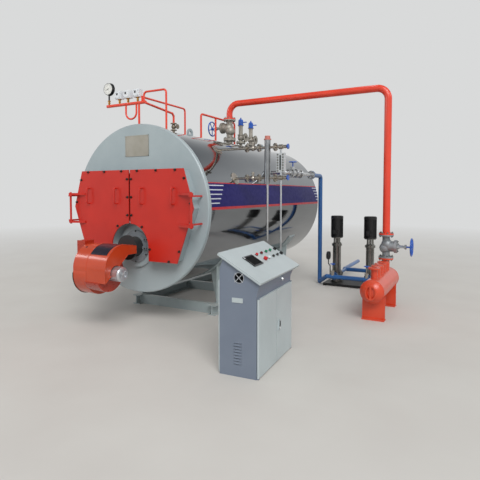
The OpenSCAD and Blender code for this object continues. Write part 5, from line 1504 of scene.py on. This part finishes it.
@dataclass
class Studio:
    """Camera at the photographed view, soft lamps, a pale floor and its backdrop."""

    camera_at: tuple[float, float, float] = (3.935, -6.560, 1.7045)
    camera_pitch: float = 0.0463
    camera_turn: float = 0.4944
    lens_mm: float = 33.33
    sensor_mm: float = 36.0
    shift: float = -0.0552
    sky: str = BACKDROP
    zenith: str = "#49525A"
    sky_rise: Pair = (0.38, 0.72)
    light: str = "#F4F6F8"
    light_strength: float = 0.5
    sun_at: tuple[float, float, float] = (5.0, -6.0, 8.5)
    sun_aim: tuple[float, float, float] = (0.0, 0.0, 1.2)
    sun_strength: float = 1.7
    sun_spread: float = 35.0
    floor_half_m: float = 45.0

    def build(self) -> None:
        """Builds the camera, the world, the lamps and the floor."""
        self.camera()
        self.world()
        self.lamps()
        self.ground()
        bpy.context.scene.view_settings.view_transform = "Standard"

    def camera(self) -> None:
        """Builds the camera with the photograph's place, lens and shift."""
        data = bpy.data.cameras.new("camera")
        data.lens = self.lens_mm
        data.sensor_width = self.sensor_mm
        data.shift_y = self.shift
        made = bpy.data.objects.new("camera", data)
        made.location = self.camera_at
        made.rotation_euler = (math.pi / 2 - self.camera_pitch, 0.0, self.camera_turn)
        bpy.context.scene.collection.objects.link(made)
        bpy.context.scene.camera = made

    def world(self) -> None:
        """Builds the world: an even light, and a pale backdrop that camera, metal and glass see."""
        world = bpy.data.worlds.new("studio_world")
        bpy.context.scene.world = world
        world.use_nodes = True
        tree = world.node_tree
        tree.nodes.clear()
        place = add_node(tree, "ShaderNodeTexCoord")
        axes = add_node(tree, "ShaderNodeSeparateXYZ", None, {0: place.outputs["Generated"]})
        height = add_node(tree, "ShaderNodeMapRange", None, {
            "Value": axes.outputs["Z"], "From Min": self.sky_rise[0], "From Max": self.sky_rise[1]})
        shade = add_node(tree, "ShaderNodeMix", {"data_type": "RGBA"},
                         {0: height.outputs[0], 6: linear(self.sky), 7: linear(self.zenith)})
        seen = add_node(tree, "ShaderNodeBackground", None, {"Color": shade.outputs[2], "Strength": 1.0})
        light = add_node(tree, "ShaderNodeBackground", None,
                         {"Color": linear(self.light), "Strength": self.light_strength})
        path = add_node(tree, "ShaderNodeLightPath")
        looks = add_node(tree, "ShaderNodeMath", {"operation": "MAXIMUM"},
                         {0: path.outputs["Is Camera Ray"], 1: path.outputs["Is Glossy Ray"]})
        sees = add_node(tree, "ShaderNodeMath", {"operation": "MAXIMUM"},
                        {0: looks.outputs[0], 1: path.outputs["Is Transmission Ray"]})
        mixed = add_node(tree, "ShaderNodeMixShader", None,
                         {0: sees.outputs[0], 1: light.outputs[0], 2: seen.outputs[0]})
        add_node(tree, "ShaderNodeOutputWorld", None, {"Surface": mixed.outputs[0]})

    def hang(self, lamp: bpy.types.Light, at: Sequence[float], aim: Sequence[float]) -> None:
        """Puts a lamp at a place and points it.

        Args:
            lamp: Lamp to hang.
            at: Its place in metres.
            aim: Point that it looks at.
        """
        made = bpy.data.objects.new(lamp.name, lamp)
        made.location = at
        made.rotation_euler = (Vector(aim) - Vector(at)).to_track_quat("-Z", "Y").to_euler()
        bpy.context.scene.collection.objects.link(made)

    def lamps(self) -> None:
        """Builds the broad soft sun from the front right, and the long lamps that gloss and metal streak."""
        sun = bpy.data.lights.new("soft_sun", "SUN")
        sun.energy = self.sun_strength
        sun.angle = math.radians(self.sun_spread)
        self.hang(sun, self.sun_at, self.sun_aim)
        for name, at, aim, size, power in (
            ("front_lamp", (4.5, -7.5, 6.5), (0.4, -1.0, 1.2), (5.0, 0.8), 90.0),
            ("left_lamp", (-6.0, -5.5, 5.0), (0.0, -1.5, 1.3), (4.0, 0.8), 60.0),
            ("roof_strip", (1.6, 0.8, 7.5), (0.5, 0.8, 1.5), (8.0, 0.3), 30.0),
            ("side_strip", (6.5, 1.5, 5.5), (0.8, 0.5, 1.6), (8.0, 0.3), 30.0),
        ):
            lamp = bpy.data.lights.new(name, "AREA")
            lamp.shape = "RECTANGLE"
            lamp.size, lamp.size_y = size
            lamp.energy = power
            self.hang(lamp, at, aim)

    def ground(self) -> None:
        """Builds the pale floor under the boiler."""
        mesh = PieceMesh()
        half = self.floor_half_m
        corners = ((-half, -half, 0), (half, -half, 0), (half, half, 0), (-half, half, 0))
        mesh.bm.faces.new([mesh.bm.verts.new(corner) for corner in corners])
        data = bpy.data.meshes.new("floor")
        mesh.bm.to_mesh(data)
        mesh.bm.free()
        data.materials.append(FLOOR_SCREED.material())
        made = bpy.data.objects.new("floor", data)
        bpy.context.scene.collection.objects.link(made)


def main() -> None:
    """Dresses the frame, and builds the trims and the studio."""
    logging.basicConfig(level=logging.INFO, format="%(name)s: %(message)s")
    CadDressing().dress()
    for trim in (DrumTrim, SmokeBoxTrim, BurnerTrim, SteamTrim, FittingTrim, PumpTrim, DeskTrim):
        trim().build()
    Studio().build()


if __name__ == "__main__":
    main()
